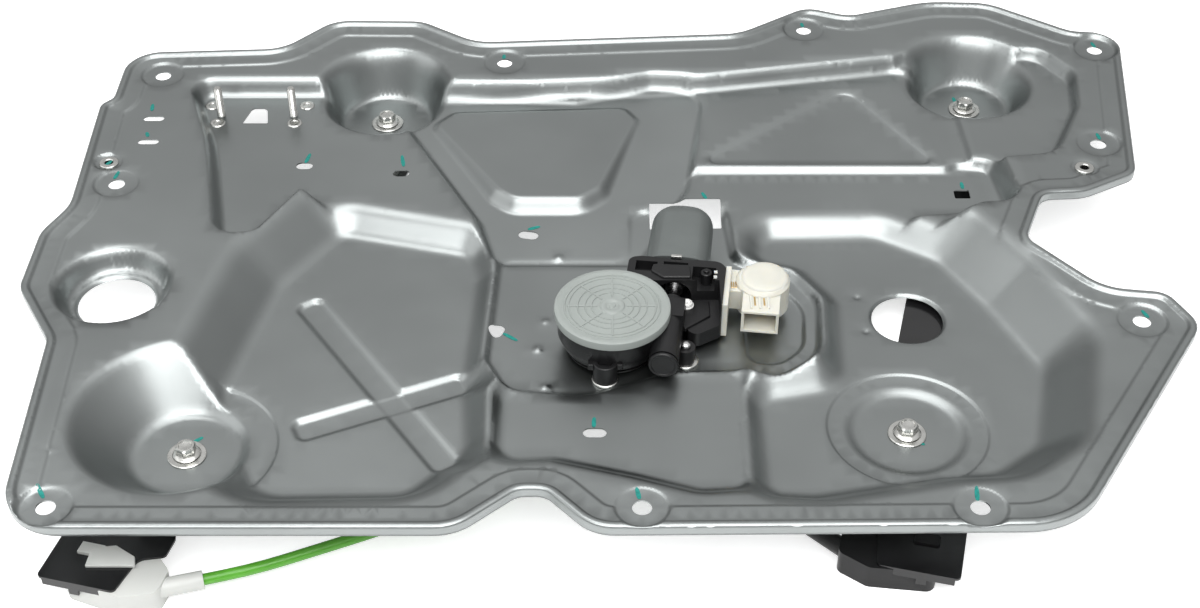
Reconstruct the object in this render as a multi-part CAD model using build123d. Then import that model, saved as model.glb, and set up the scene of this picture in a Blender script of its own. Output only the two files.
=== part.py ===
"""Powered cable window regulator on a pressed door carrier plate, in millimetres.

The origin is the lower middle mounting hole, on the seating face of its round pad.
+X runs along the plate, +Y up the door and +Z out of the plate on the motor side.
"""
from build123d import *
from math import atan, atan2, ceil, cos, degrees, pi, radians, sin, tan
import os

# Pressed sheet: levels of its upper face, from the mounting pads at zero
sheet = 1.0
flange_z = 2.0
rim_z = 4.5
rim_width = 6.0
skirt_drop = 3.0
deck_z = -13.0
right_deck_z = -9.0
triangle_z = -15.0
step_z = -18.0
middle_z = -24.5
motor_pad_z = -25.0
front_z = -22.0
left_basin_z = -29.0
right_basin_z = -30.0
disc_z = -35.0
dish_z = -14.0
steep = 0.45
gentle = 1.0
chord_angle = 30.0

# Plan of the plate: x, y and radius of each corner of the outer edge
outline = [
    (-383, 474, 26), (-383, 412, 10), (-391, 403, 10), (-386, 280, 40), (-399, 250, 30),
    (-399, 192, 22), (-369, 141, 22), (-361, -19, 36), (-105, -19, 32), (-71, 11, 12),
    (-55, 11, 12), (-28, -19, 28), (245, -16, 55), (355, 155, 18), (341, 187, 14),
    (302, 192, 34), (261, 244, 12), (281, 294, 12), (311, 296, 30), (351, 318, 15),
    (379, 503, 22), (343, 505, 24), (284, 548, 40), (236, 550, 80), (172, 528, 24),
    (139, 541, 20), (84, 502, 44), (-119, 489, 40), (-163, 520, 24), (-232, 521, 28),
    (-268, 480, 32),
]

# Floors of the pressed areas, each a rounded polygon
deck_area = [
    (-326, 438, 9), (-221, 438, 9), (-130, 431, 12), (56, 444, 14), (200, 470, 14),
    (238, 460, 12), (244, 300, 14), (60, 190, 14), (-90, 190, 14), (-234, 316, 9),
    (-262, 262, 10), (-280, 262, 10), (-297, 345, 14), (-303, 370, 14),
]
right_deck_area = [
    (196, 474, 14), (312, 484, 18), (332, 452, 14), (326, 410, 26), (300, 352, 22), (225, 342, 12),
]
step_area = [
    (34, 346, 16), (226, 346, 10), (232, 351, 8), (255, 349, 8), (260, 300, 8),
    (196, 294, 16), (150, 250, 20), (34, 250, 16),
]
middle_area = [
    (-158, 398, 8), (-104, 292, 14), (-94, 252, 10), (0, 252, 10), (34, 330, 14), (46, 438, 12),
    (16, 440, 10), (-40, 424, 14), (-146, 428, 10),
]
motor_area = [
    (-91, 256, 8), (-4, 256, 12), (-2, 308, 10), (62, 308, 10), (66, 250, 16), (104, 238, 16),
    (120, 208, 20), (116, 156, 20), (88, 134, 20), (66, 142, 14), (20, 140, 30), (-34, 118, 30),
    (-82, 124, 16), (-95, 150, 14),
]
left_basin_area = [
    (-204, 288, 12), (-112, 264, 14), (-106, 236, 12), (-110, 130, 14), (-106, 72, 14),
    (-138, 36, 20), (-228, 34, 24), (-262, 120, 40), (-240, 230, 30),
]
right_basin_area = [
    (88, 284, 12), (168, 286, 22), (208, 260, 24), (234, 212, 26), (260, 150, 18), (242, 76, 20),
    (214, 54, 20), (180, 52, 20), (104, 36, 24), (76, 38, 10), (76, 120, 12), (130, 132, 20),
    (134, 214, 20), (112, 250, 18), (84, 258, 10),
]
front_area = [
    (-84, 120, 14), (-84, 58, 12), (-50, 60, 20), (0, 46, 20), (36, 34, 14), (62, 36, 8),
    (66, 142, 12), (-20, 130, 30),
]

# Raised and sunk details inside the areas
panel_area = [
    (-146, 402, 8), (-132, 418, 8), (-6, 424, 8), (3, 409, 8), (-24, 324, 10), (-38, 312, 16),
    (-84, 312, 16), (-96, 322, 14),
]
triangle_area = [(45, 353, 6), (163, 450, 12), (218, 353, 6)]
panel_z = -13.5
middle_slope = 4.0
middle_start = 284.0
rib_depth = 4.0
rib_width = 16.0
rib_long = ((-218.0, 214.0), (-116.0, 62.0))
rib_cross = ((-210.0, 92.0), (-110.0, 136.0))
connector_pan = [
    (72, 226, 14), (98, 226, 14), (110, 204, 16), (106, 164, 16), (88, 150, 12), (72, 154, 10),
]
pan_depth = 2.0

# Mounting holes in round pads: the lower three are in line
mount_radius = 5.75
pad_radius = 15.0
pad_flare = 0.6
lower_holes = [(-337.5, 0.0), (0.0, 0.0), (191.5, 0.0)]
upper_holes = [
    (-353.5, 447.0), (-96.5, 465.0), (135.5, 512.0), (357.0, 483.0),
    (333.5, 357.5), (-360.5, 309.0), (320.0, 162.0),
]
nut_holes = [(-371.0, 334.0), (317.5, 328.0)]
nut_radius = 3.0
nut_body_radius = 5.5
nut_flange_radius = 7.5
nut_seat_radius = 9.0

# Other openings in the plate
left_hole = (-340.5, 199.0)
left_hole_radius = 25.0
left_dish_radius = 31.0
right_hole = (179.5, 200.5)
right_hole_radius = 23.5
slots = [
    (-349.5, 389.0, 15.0, 6.0, 0.0), (-348.0, 359.5, 15.0, 6.0, 0.0),
    (-236.0, 349.0, 12.0, 8.0, 0.0), (-166.0, 340.0, 12.0, 8.0, 0.0),
    (-73.5, 283.0, 14.0, 8.0, -10.0), (-91.0, 181.5, 13.0, 9.0, 70.0),
    (-27.0, 83.5, 14.5, 8.0, 0.0),
]
square_hole = (232.5, 321.5, 11.0, 10.0)
drain_corners = [(-289, 403, 1), (-284, 423, 4), (-273, 423, 4), (-270, 403, 1)]
motor_window = (36.0, 304.0, 50.0, 26.0)

# Studs and clinched rivets beside the drain opening
stud_y = 414.0
stud_x = -279.0
stud_spacing = 54.0
stud_radius = 3.0
stud_shank = 3.2
stud_step = 0.3
stud_height = 24.0
rivet_radius = 4.5
rivet_shank = 2.0
stud_plate_sheet = 1.5
rivet_offsets = [(-8.5, 12.0), (-1.0, -11.0), (8.5, 12.0), (2.0, -11.0)]

# Guide rails: two parallel rails, mirrored about the middle of the plate
rail_angle = 14.2
rail_bolt_pitch = 369.0
left_rail_x = -230.8
left_rail_y = 255.5
right_rail_x = 211.2
right_rail_y = 274.0
dish_disc_radius = 34.0
dish_flares = [0.9, 0.35, 1.0, 0.4]
rail_sheet = 1.6
rail_half = 16.0
rail_depth = 9.0
rail_below_bolt = 110.0
rail_above_bolt = 52.0
foot_outer = 44.0
foot_inner = 21.5
foot_length = 46.0
bolt_radius = 3.0
bolt_flange_radius = 7.0
bolt_af = 10.0
bolt_head = 5.0
bolt_flange = 1.4
washer_radius = 11.0
washer_thickness = 1.2
nut_af = 10.0
nut_height = 4.6

# Cable, conduits and their guides
cable_radius = 0.75
cable_sides = 6
conduit_sides = 12
cable_z = -44.5
cable_channel = 1.6
conduit_radius = 3.5
conduit_fit = 0.1
socket_radius = 5.6
socket_depth = 10.0
pulley_radius = 19.0
pulley_rim = 1.6
pulley_width = 6.0
pulley_above_bolt = 27.0
pulley_room = 1.5
pin_radius = 3.0
pin_fit = 0.05
cable_gap = 0.15
turn_radius = 12.0
turn_below_bolt = 88.0
lower_socket_angle = 30.0
lower_socket_reach = 32.0
crossing_z = -40.0
crossing_dip = -49.0
clip_width = 8.0
clip_wall = 2.4
crossing_points = [(-148, 24, -42), (-96, 50, -40), (-44, 70, -40), (10, 84, -40), (62, 104, -40),
                   (102, 140, -40), (128, 192, -40), (146, 252, -40), (166, 312, -42)]
clip_places = [(-70, 60, 21.0), (137, 222, 73.0)]

# Carriers on the rails, at the closed end of their travel
carrier_from_middle = 128.0
carrier_length = 58.0
shoe_outer = 5.0
shoe_inner = 3.6
shoe_gap = 0.3
bridge_thickness = 3.0
lug_half = 5.5
lug_length = 30.0
nipple_radius = 2.5
nipple_length = 8.0
stake_radius = 3.0
stake_spacing = 40.0
bracket_sheet = 2.0
bracket_half = 27.0
bracket_overhang = 11.0
glass_bolt_inset = 6.0
glass_bolt_radius = 3.0
glass_nut_af = 10.0
glass_nut_height = 4.0

# Gear motor: the worm runs beside the wheel, turned a little from +Y
wheel_x = -16.0
wheel_y = 168.0
worm_tilt = 7.0
worm_distance = 36.0
wheel_radius = 30.6
wheel_teeth = 48
tooth_depth = 1.8
wheel_width = 10.0
gear_gap = 0.2
worm_length = 28.0
worm_pitch = 4.0
motor_z = -8.0
bowl_radius = 35.0
bowl_low_radius = 30.0
bowl_room = 1.2
floor_thickness = 2.0
foot_gap = 2.0
cover_radius = 37.2
cover_z = 2.5
cover_thickness = 5.5
cover_skin = 1.8
cover_ribs = 8
cover_rings = [16.0, 27.5]
boss_radius = 6.2
boss_points = [(-20.5, 134.5), (30.5, 152.0), (32.5, 189.0)]
boss_tops = [-12.0, -12.5, -9.5]
screw_radius = 2.5
screw_head_radius = 4.6
screw_head_height = 3.2
screw_head_room = 0.3
tube_radius = 9.5
tube_front = 32.0
tube_back = 24.0
frame_back = 56.0
frame_left = 31.0
frame_right = 33.0
frame_half_height = 13.5
can_length = 62.0
can_half_width = 22.0
can_half_height = 15.0
can_wall = 1.6
can_edge = 4.5
magnet_radius = 13.2
magnet_inner = 11.4
armature_radius = 10.6
armature_length = 38.0
commutator_radius = 6.0
shaft_radius = 2.5
shaft_fit = 0.06

# Rubber coupling between wheel and output shaft
damper_radius = 22.0
damper_inner = 9.0
damper_depth = 5.5
damper_fit = 0.1
driver_thickness = 1.6
driver_tab = 3.0
output_radius = 7.0
output_fit = 0.08

# Connector beside the brush frame
connector_plate = 3.5
connector_start = 14.0
connector_end = 54.0
connector_low = -22.0
connector_high = 4.0
connector_wall = 1.8
barrel_x = 57.5
barrel_y = 46.0
barrel_radius = 17.5
barrel_low = -19.0
barrel_high = 3.0
mouth_half = 12.0
mouth_front = 14.0
mouth_low = -17.0
mouth_high = 0.0
terminal_width = 1.8
terminal_count = 2

# Drum and its case under the plate
drum_radius = 21.0
drum_rim = 1.5
drum_width = 9.0
drum_groove = 2.7
wrap_sides = 36
drum_room = 1.6
case_wall = 2.0
case_floor = 2.0
case_flange = 3.0
case_core = 33.0
case_boss = 8.0
spigot_radius = 16.0
spigot_length = 3.0
lowest_z = -54.0
first_angle = 115.0
second_angle = -44.0
drum_socket_end = 26.0

os.makedirs("parts", exist_ok=True)
parts = {}


def shifted(corners, distance):
    """The same outline moved outwards by a distance, with its corner radii to match."""
    points = [Vector(x, y) for x, y, radius in corners]
    area = sum(points[i - 1].X * points[i].Y - points[i].X * points[i - 1].Y for i in range(len(points)))
    sense = 1 if area > 0 else -1
    moved = []
    for i, (x, y, radius) in enumerate(corners):
        before = (points[i] - points[i - 1]).normalized()
        after = (points[(i + 1) % len(points)] - points[i]).normalized()
        first = Vector(before.Y, -before.X) * sense
        second = Vector(after.Y, -after.X) * sense
        shift = (first + second) * (distance / (1 + first.dot(second)))
        convex = sense * (before.X * after.Y - before.Y * after.X) > 0
        change = distance if convex else -distance
        moved.append((x + shift.X, y + shift.Y, max(radius + change, 0.6)))
    return moved


def rounded(corners, z=0.0):
    """Flat face at height z whose corners are given as x, y and radius."""
    points = [(x, y) for x, y, radius in corners]
    radii = [radius for x, y, radius in corners]
    edge = FilletPolyline(*points, radius=radii, close=True)
    return make_face(edge).face().moved(Location((0, 0, z)))


def chorded(corners, z):
    """Points of an outline at height z, with short chords round each corner."""
    points = [Vector(x, y, z) for x, y, radius in corners]
    loop = []
    for i, (x, y, radius) in enumerate(corners):
        before = (points[i] - points[i - 1]).normalized()
        after = (points[(i + 1) % len(points)] - points[i]).normalized()
        turn = atan2(before.X * after.Y - before.Y * after.X, before.dot(after))
        spoke = Vector(before.Y, -before.X) * (radius if turn > 0 else -radius)
        centre = points[i] - before * (radius * tan(abs(turn) / 2)) - spoke
        steps = ceil(degrees(abs(turn)) / chord_angle)
        loop += [centre + spoke.rotate(Axis.Z, degrees(turn) * k / steps) for k in range(steps + 1)]
    return loop


def tapered(corners, low, high, growth):
    """Solid between two heights that widens upwards by a growth per millimetre."""
    bottom = chorded(corners, low)
    top = chorded(shifted(corners, growth * (high - low)), high)
    walls = [(bottom[i - 1], bottom[i], top[i], top[i - 1]) for i in range(len(bottom))]
    faces = [Face(Wire.make_polygon(ring, close=True)) for ring in [bottom, top] + walls]
    return Solid(Shell(faces))


def plate(corners, low, high):
    """Upright solid with a rounded outline."""
    return extrude(rounded(corners, low), high - low)


def disc(x, y, radius, low, high):
    """Upright cylinder between two heights."""
    return Pos(x, y, low) * Cylinder(radius, high - low, align=(Align.CENTER, Align.CENTER, Align.MIN))


def block(x, y, width, length, low, high, turn=0.0):
    """Upright box about x, y between two heights, turned about Z."""
    box = Box(width, length, high - low, align=(Align.CENTER, Align.CENTER, Align.MIN))
    return Pos(x, y, low) * Rot(0, 0, turn) * box


def cone(x, y, low_radius, low, high, growth):
    """Round dish tool that widens upwards from its flat floor."""
    high_radius = low_radius + growth * (high - low)
    shape = Cone(low_radius, high_radius, high - low, align=(Align.CENTER, Align.CENTER, Align.MIN))
    return Pos(x, y, low) * shape


def slot(x, y, length, width, low, high, turn=0.0):
    """Upright round-ended slot tool."""
    face = SlotOverall(length, width)
    return Pos(x, y, low) * Rot(0, 0, turn) * extrude(face, high - low)


def hexagon(x, y, across_flats, low, high):
    """Upright hexagonal prism."""
    face = RegularPolygon(across_flats / 2, 6, major_radius=False)
    return Pos(x, y, low) * extrude(face, high - low)


def bar(start, end, width, low, high, growth):
    """Sunk rib tool: a round-ended bar between two plan points."""
    run = Vector(end[0] - start[0], end[1] - start[1], 0)
    middle = ((start[0] + end[0]) / 2, (start[1] + end[1]) / 2)
    turn = degrees(atan(run.Y / run.X))
    half = run.length / 2
    corner = width * 0.3
    ends = [(-half, -width / 2), (half, -width / 2), (half, width / 2), (-half, width / 2)]
    corners = [(x, y, corner) for x, y in ends]
    return Pos(middle[0], middle[1], 0) * Rot(0, 0, turn) * tapered(corners, low, high, growth)


def keep(name, shape):
    """Store one named part."""
    parts[name] = shape


def rail_place(side):
    """Frame of a rail: its middle, +Y up the rail, +X towards the motor for the left rail."""
    if side == "left":
        return Pos(left_rail_x, left_rail_y, 0) * Rot(0, 0, -rail_angle)
    return Pos(right_rail_x, right_rail_y, 0) * Rot(0, 0, -rail_angle)


def on_rail(side, shape):
    """Put a shape made for the left rail on either rail, mirrored on the right."""
    if side == "right":
        shape = mirror(shape, Plane.YZ)
    return rail_place(side) * shape


def rail_point(side, x, y):
    """Plan position of a point given in the left rail's own frame."""
    sign = 1 if side == "left" else -1
    turn = radians(rail_angle)
    base_x = left_rail_x if side == "left" else right_rail_x
    base_y = left_rail_y if side == "left" else right_rail_y
    return (base_x + sign * x * cos(turn) + y * sin(turn), base_y - sign * x * sin(turn) + y * cos(turn))


def dish_centres():
    """Centres of the four discs that carry the rail bolts."""
    half = rail_bolt_pitch / 2
    return [rail_point(side, 0, end * half) for side in ("left", "right") for end in (-1, 1)]


def pressed_top():
    """Solid whose upper face is the upper face of the pressed sheet."""
    top = flange_z + 1.0
    slab = plate(shifted(outline, 4), -60, rim_z)
    tools = [tapered(shifted(outline, -rim_width), flange_z, rim_z + 1, 0.6)]
    tools.append(tapered(deck_area, deck_z, top, steep))
    tools.append(tapered(right_deck_area, right_deck_z, top, steep))
    tools.append(tapered(step_area, step_z, top, steep))
    tools.append(tapered(motor_area, motor_pad_z, top, steep))
    tools.append(tapered(left_basin_area, left_basin_z, top, gentle))
    tools.append(tapered(right_basin_area, right_basin_z, top, gentle))
    tools.append(tapered(front_area, front_z, top, gentle))
    tools.append(tapered(triangle_area, triangle_z, top, steep))
    below = Box(600, 600, 80, align=(Align.CENTER, Align.CENTER, Align.MAX))
    slope = Pos(0, middle_start, middle_z) * Rot(middle_slope, 0, 0) * below
    tools.append(tapered(middle_area, middle_z - 5, top, steep) - slope)
    slab = slab - tools
    panel = tapered(panel_area, panel_z - 16, panel_z, -steep)
    slab = slab + panel
    return slab


def sunk_details(solid):
    """Cut the dishes, pads, ribs and pans into the pressed top."""
    top = flange_z + 1.0
    pairs = zip(dish_centres(), dish_flares)
    tools = [cone(x, y, dish_disc_radius, disc_z, top, flare) for (x, y), flare in pairs]
    tools.append(cone(left_hole[0], left_hole[1], left_dish_radius, dish_z, top, steep))
    tools += [cone(x, y, pad_radius, 0, top, pad_flare) for x, y in lower_holes + upper_holes]
    tools += [cone(x, y, nut_seat_radius, 0, top, pad_flare) for x, y in nut_holes]
    floor = left_basin_z
    tools.append(bar(*rib_long, rib_width, floor - rib_depth, floor + 1, steep))
    tools.append(bar(*rib_cross, rib_width, floor - rib_depth, floor + 1, steep))
    tools.append(tapered(connector_pan, motor_pad_z - pan_depth, motor_pad_z + 1, steep))
    return solid - tools


def plate_openings(solid):
    """Punch the plate's holes and slots."""
    low = -50
    high = 10
    cuts = [disc(x, y, mount_radius, low, high) for x, y in lower_holes + upper_holes]
    cuts += [disc(x, y, nut_body_radius, low, high) for x, y in nut_holes]
    cuts.append(disc(left_hole[0], left_hole[1], left_hole_radius, low, high))
    cuts.append(disc(right_hole[0], right_hole[1], right_hole_radius, low, high))
    cuts += [slot(x, y, length, width, low, high, turn) for x, y, length, width, turn in slots]
    x, y, width, length = square_hole
    cuts.append(block(x, y, width, length, low, high))
    x, y, width, length = motor_window
    cuts.append(block(x, y, width, length, low, high))
    cuts.append(plate(drain_corners, low, high))
    cuts.append(disc(wheel_x, wheel_y, spigot_radius + 1, low, high))
    cuts += [disc(x, y, bolt_radius + 0.3, low, high) for x, y in dish_centres()]
    cuts += [disc(x, y, bolt_radius + 0.3, low, high) for x, y in boss_points]
    cuts += [disc(x, y, stud_shank, low, high) for x, y in stud_places()]
    cuts += [disc(x, y, rivet_shank, low, high) for x, y in rivet_places()]
    return solid - cuts


def carrier_plate():
    """Pressed carrier plate with its turned-down rim."""
    top = sunk_details(pressed_top())
    skin = (top - top.moved(Location((0, 0, -sheet)))) & plate(outline, -60, 20)
    ring = plate(outline, -skirt_drop, rim_z) - plate(shifted(outline, -sheet), -skirt_drop, rim_z)
    return plate_openings(skin + ring)


def hollow_cylinder(x, y, inner, outer, low, high):
    """Upright ring between two heights."""
    return disc(x, y, outer, low, high) - disc(x, y, inner, low - 1, high + 1)


def turned(points, section, sides):
    """Many-sided tube along a path of tangent lines and arcs."""
    start = Plane(points @ 0, z_dir=points % 0)
    return sweep(start * RegularPolygon(section, sides), path=points)


def along(start, end, radius):
    """Cylinder between two points in space."""
    first = Vector(*start)
    run = Vector(*end) - first
    base = Plane(first, z_dir=run)
    return base * Cylinder(radius, run.length, align=(Align.CENTER, Align.CENTER, Align.MIN))


rail_top = disc_z - sheet
web_under = rail_top - rail_sheet
half_pitch = rail_bolt_pitch / 2
turn_y = -(half_pitch + turn_below_bolt)
pulley_y = half_pitch + pulley_above_bolt
rail_end = half_pitch + rail_above_bolt
rail_foot = -(half_pitch + rail_below_bolt)


def lower_exit(distance):
    """Point on the cable's way out of the lower guide, in the rail's frame."""
    angle = radians(lower_socket_angle)
    x = turn_radius + turn_radius * sin(angle) + distance * cos(angle)
    y = turn_y - turn_radius * cos(angle) + distance * sin(angle)
    return (x, y)


def foot_flange(thickness):
    """Turned-down edge along the bottom of a rail foot, with its tongue."""
    low = rail_top - rail_depth
    edge = rail_foot + rail_sheet / 2
    shape = block(-foot_outer / 2 - 1, edge, foot_outer - 8, thickness, low + 3, rail_top)
    return shape + block(-foot_outer / 2, edge, 6, thickness, low - 1, rail_top)


def rail(side):
    """Guide rail: web, two running flanges, wide foot and pulley head."""
    corners = [
        (-foot_outer, rail_foot, 3), (4, rail_foot, 3), (7, rail_foot + 26, 8),
        (foot_inner, rail_foot + 32, 3), (foot_inner, rail_foot + foot_length, 6),
        (rail_half, rail_foot + foot_length + 12, 10), (rail_half, half_pitch + 8, 8),
        (2 * pulley_radius - 4, half_pitch + 18, 8), (2 * pulley_radius - 4, rail_end, 8),
        (-rail_half, rail_end, 6), (-rail_half, rail_foot + foot_length + 34, 16),
        (-foot_outer, rail_foot + foot_length, 10),
    ]
    shape = plate(corners, web_under, rail_top)
    low = rail_top - rail_depth
    run_start = rail_foot + foot_length + 30
    run = half_pitch - run_start
    for x in (-rail_half + rail_sheet / 2, rail_half - rail_sheet / 2):
        shape += block(x, run_start + run / 2, rail_sheet, run, low, rail_top)
    side_run = foot_length - 12
    edge = -foot_outer + rail_sheet / 2
    shape += block(edge, rail_foot + 6 + side_run / 2, rail_sheet, side_run, low + 2, rail_top)
    shape += foot_flange(rail_sheet)
    low_cut = low - 2
    cuts = [disc(0, y, bolt_radius + 0.3, low_cut, 0) for y in (-half_pitch, half_pitch)]
    cuts.append(disc(pulley_radius, pulley_y, pin_radius, low_cut, 0))
    cuts.append(block(-foot_outer / 2, rail_foot + 26, 15, 9, low_cut, 0))
    cuts.append(disc(0, rail_foot + foot_length + 18, 5, low_cut, 0))
    return on_rail(side, shape - cuts)


def cable_path(y_top, reach):
    """Route of one rail's cable over the pulley, down the rail and round the lower guide."""
    turn_end = radians(lower_socket_angle)
    exit_x, exit_y = lower_exit(0)
    far_x, far_y = lower_exit(reach)
    with BuildLine() as route:
        Line((2 * pulley_radius, y_top, cable_z), (2 * pulley_radius, pulley_y, cable_z))
        ThreePointArc(
            (2 * pulley_radius, pulley_y, cable_z),
            (pulley_radius, pulley_y + pulley_radius, cable_z), (0, pulley_y, cable_z),
        )
        Line((0, pulley_y, cable_z), (0, turn_y, cable_z))
        middle = radians(180 + (90 + lower_socket_angle) / 2)
        ThreePointArc(
            (0, turn_y, cable_z),
            (turn_radius + turn_radius * cos(middle), turn_y + turn_radius * sin(middle), cable_z),
            (exit_x, exit_y, cable_z),
        )
        Line((exit_x, exit_y, cable_z), (far_x, far_y, cable_z))
    return route.line


def rail_cable(side):
    """Steel cable of one rail, from its upper conduit to its lower one."""
    path = cable_path(half_pitch + 6, lower_socket_reach - socket_depth)
    return on_rail(side, turned(path, cable_radius, cable_sides))


def lower_guide(side):
    """Moulded guide under the rail foot that turns the cable towards the motor."""
    low = lowest_z
    corners = [
        (-32, rail_foot + 40, 4), (-30, rail_foot + 3, 6), (8, rail_foot - 2, 8), (27, rail_foot + 6, 5),
        (27, rail_foot + 24, 5), (8, rail_foot + 40, 6),
    ]
    shape = plate(corners, low, web_under)
    start = (*lower_exit(0), cable_z)
    mouth = (*lower_exit(lower_socket_reach), cable_z)
    shape += along(start, mouth, socket_radius)
    shape += block(-foot_outer / 2, rail_foot + 26, 14, 8, web_under - 1, rail_top + 1.5)
    route = cable_path(half_pitch, lower_socket_reach)
    channel = turned(route, cable_channel, cable_sides)
    seat = along((*lower_exit(lower_socket_reach - socket_depth), cable_z),
                 (*lower_exit(lower_socket_reach + 1), cable_z), conduit_radius + conduit_fit)
    return on_rail(side, shape - [channel, seat, foot_flange(rail_sheet + 0.4)])


def upper_guide(side):
    """Moulded housing under the rail head that holds the pulley and the conduit end."""
    low = lowest_z
    inner = half_pitch + 9
    corners = [
        (-6, inner, 3), (2 * pulley_radius + 7, inner, 3), (2 * pulley_radius + 7, rail_end, 12),
        (-6, rail_end, 12),
    ]
    shape = plate(corners, low, web_under)
    mouth_y = half_pitch - 4
    far_x = 2 * pulley_radius
    shape += along((far_x, mouth_y, cable_z), (far_x, inner + 2, cable_z), socket_radius)
    room = pulley_radius + pulley_rim + pulley_room
    half = pulley_width / 2 + 0.4
    shape -= disc(pulley_radius, pulley_y, room, cable_z - half, cable_z + half)
    shape -= disc(pulley_radius, pulley_y, pin_radius, low - 1, web_under + 1)
    for x in (0, far_x):
        shape -= along((x, mouth_y - 1, cable_z), (x, pulley_y, cable_z), cable_channel)
    seat_end = mouth_y + socket_depth
    seat = along((far_x, mouth_y - 1, cable_z), (far_x, seat_end, cable_z), conduit_radius + conduit_fit)
    shape -= seat
    return on_rail(side, shape)


def pulley(side):
    """Grooved cable pulley."""
    half = pulley_width / 2
    rim = pulley_radius + pulley_rim
    floor = pulley_radius - cable_radius - cable_gap
    bore = pin_radius + pin_fit
    with BuildPart() as wheel:
        with BuildSketch(Plane.XZ):
            with BuildLine():
                Polyline((bore, -half), (rim, -half), (floor, -cable_radius), (floor, cable_radius),
                         (rim, half), (bore, half), close=True)
            make_face()
        revolve(axis=Axis.Z)
    return on_rail(side, Pos(pulley_radius, pulley_y, cable_z) * wheel.part)


def pulley_pins():
    """Steel pins that carry the two pulleys, flush in the rail heads."""
    shape = disc(pulley_radius, pulley_y, pin_radius, lowest_z + 0.5, rail_top)
    return Compound([on_rail("left", shape), on_rail("right", shape)])


def at_discs(make):
    """One copy of a fastener at each of the four discs."""
    return Compound([make(x, y) for x, y in dish_centres()])


def rail_bolt(x, y):
    """Hexagon flange bolt through disc and rail."""
    low = disc_z + washer_thickness
    shape = disc(x, y, bolt_radius, web_under - nut_height, low)
    shape += cone(x, y, bolt_flange_radius, low, low + bolt_flange, -1.0)
    head = hexagon(x, y, bolt_af, low + bolt_flange, low + bolt_flange + bolt_head)
    head &= cone(x, y, bolt_af * 0.8, low, low + bolt_flange + bolt_head, -0.42)
    return shape + head


def rail_washer(x, y):
    """Captive washer under a rail bolt."""
    return hollow_cylinder(x, y, bolt_radius + 0.1, washer_radius, disc_z, disc_z + washer_thickness)


def rail_nut(x, y):
    """Weld nut under the rail web."""
    return hexagon(x, y, nut_af, web_under - nut_height, web_under) - disc(x, y, bolt_radius + 0.03, -60, 0)


def slider(side):
    """Moulded slider that runs on both rail flanges and holds the cable nipples."""
    y = carrier_from_middle
    low = rail_top - rail_depth - bridge_thickness
    bottom = low - bridge_thickness
    high = web_under - shoe_gap * 2
    shape = block(0, y, 2 * (rail_half + shoe_outer), carrier_length, bottom, low)
    for sign in (-1, 1):
        centre = sign * (rail_half + (shoe_outer - shoe_inner - rail_sheet) / 2)
        width = shoe_outer + shoe_inner + rail_sheet
        shape += block(centre, y, width, carrier_length, low, high)
        slot_x = sign * (rail_half - rail_sheet / 2)
        slot_low = rail_top - rail_depth - shoe_gap
        shape -= block(slot_x, y, rail_sheet + 2 * shoe_gap, carrier_length + 2, slot_low, high + 1)
    shape += block(0, y, 2 * lug_half, lug_length, low, cable_z + nipple_radius)
    shape -= block(0, y, 2 * (cable_radius + shoe_gap), lug_length + 2, cable_z - 1.1, 0)
    for sign in (-1, 1):
        pocket = nipple_length + 0.2
        middle = y + sign * (lug_length / 2 - 2 - pocket / 2)
        shape -= block(0, middle, 2 * nipple_radius + 0.2, pocket, cable_z - nipple_radius - 0.05, 0)
        shape += disc(0, y + sign * stake_spacing / 2, stake_radius, bottom - bracket_sheet, bottom)
    return on_rail(side, shape)


def nipples(side):
    """Crimped cable ends seated in the slider's pockets."""
    y = carrier_from_middle
    solids = []
    for sign in (-1, 1):
        middle = y + sign * (lug_length / 2 - 2 - (nipple_length + 0.2) / 2)
        first = (0, middle - nipple_length / 2, cable_z)
        last = (0, middle + nipple_length / 2, cable_z)
        hollow = along(first, last, nipple_radius) - along(first, last, cable_radius + shoe_gap)
        solids.append(on_rail(side, hollow))
    return Compound(solids)


def bracket_y():
    """Heights of the two glass fixings on a bracket, in the rail's frame."""
    reach = carrier_length / 2 + bracket_overhang - glass_bolt_inset
    return (carrier_from_middle - reach, carrier_from_middle + reach)


def glass_bracket(side):
    """Steel bracket under the slider that the glass bolts to."""
    high = rail_top - rail_depth - 2 * bridge_thickness
    low = high - bracket_sheet
    half = carrier_length / 2 + bracket_overhang
    y = carrier_from_middle
    corners = [
        (-bracket_half, y - carrier_length / 2, 6), (-12, y - half, 8), (12, y - half, 8),
        (bracket_half, y - carrier_length / 2, 6), (bracket_half, y + carrier_length / 2, 6),
        (12, y + half, 8), (-12, y + half, 8), (-bracket_half, y + carrier_length / 2, 6),
    ]
    shape = plate(corners, low, high)
    cuts = [disc(0, place, glass_bolt_radius, low - 1, high + 1) for place in bracket_y()]
    cuts += [disc(0, y + sign * stake_spacing / 2, stake_radius, low - 1, high + 1) for sign in (-1, 1)]
    cuts += [slot(sign * 19, y, 26, 8, low - 1, high + 1, 90) for sign in (-1, 1)]
    return on_rail(side, shape - cuts)


def glass_nuts(side):
    """Weld nuts for the glass bolts."""
    low = rail_top - rail_depth - 2 * bridge_thickness
    solids = []
    for place in bracket_y():
        nut = hexagon(0, place, glass_nut_af, low, low + glass_nut_height)
        solids.append(on_rail(side, nut - disc(0, place, glass_bolt_radius, low - 1, low + 9)))
    return Compound(solids)


def stud_places():
    """Plan positions of the two plate studs."""
    return [(stud_x - stud_spacing / 2, stud_y), (stud_x + stud_spacing / 2, stud_y)]


def rivet_places():
    """Plan positions of the rivets, two beside each stud."""
    pairs = zip((0, 0, 1, 1), rivet_offsets)
    studs = stud_places()
    return [(studs[i][0] + dx, studs[i][1] + dy) for i, (dx, dy) in pairs]


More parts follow.
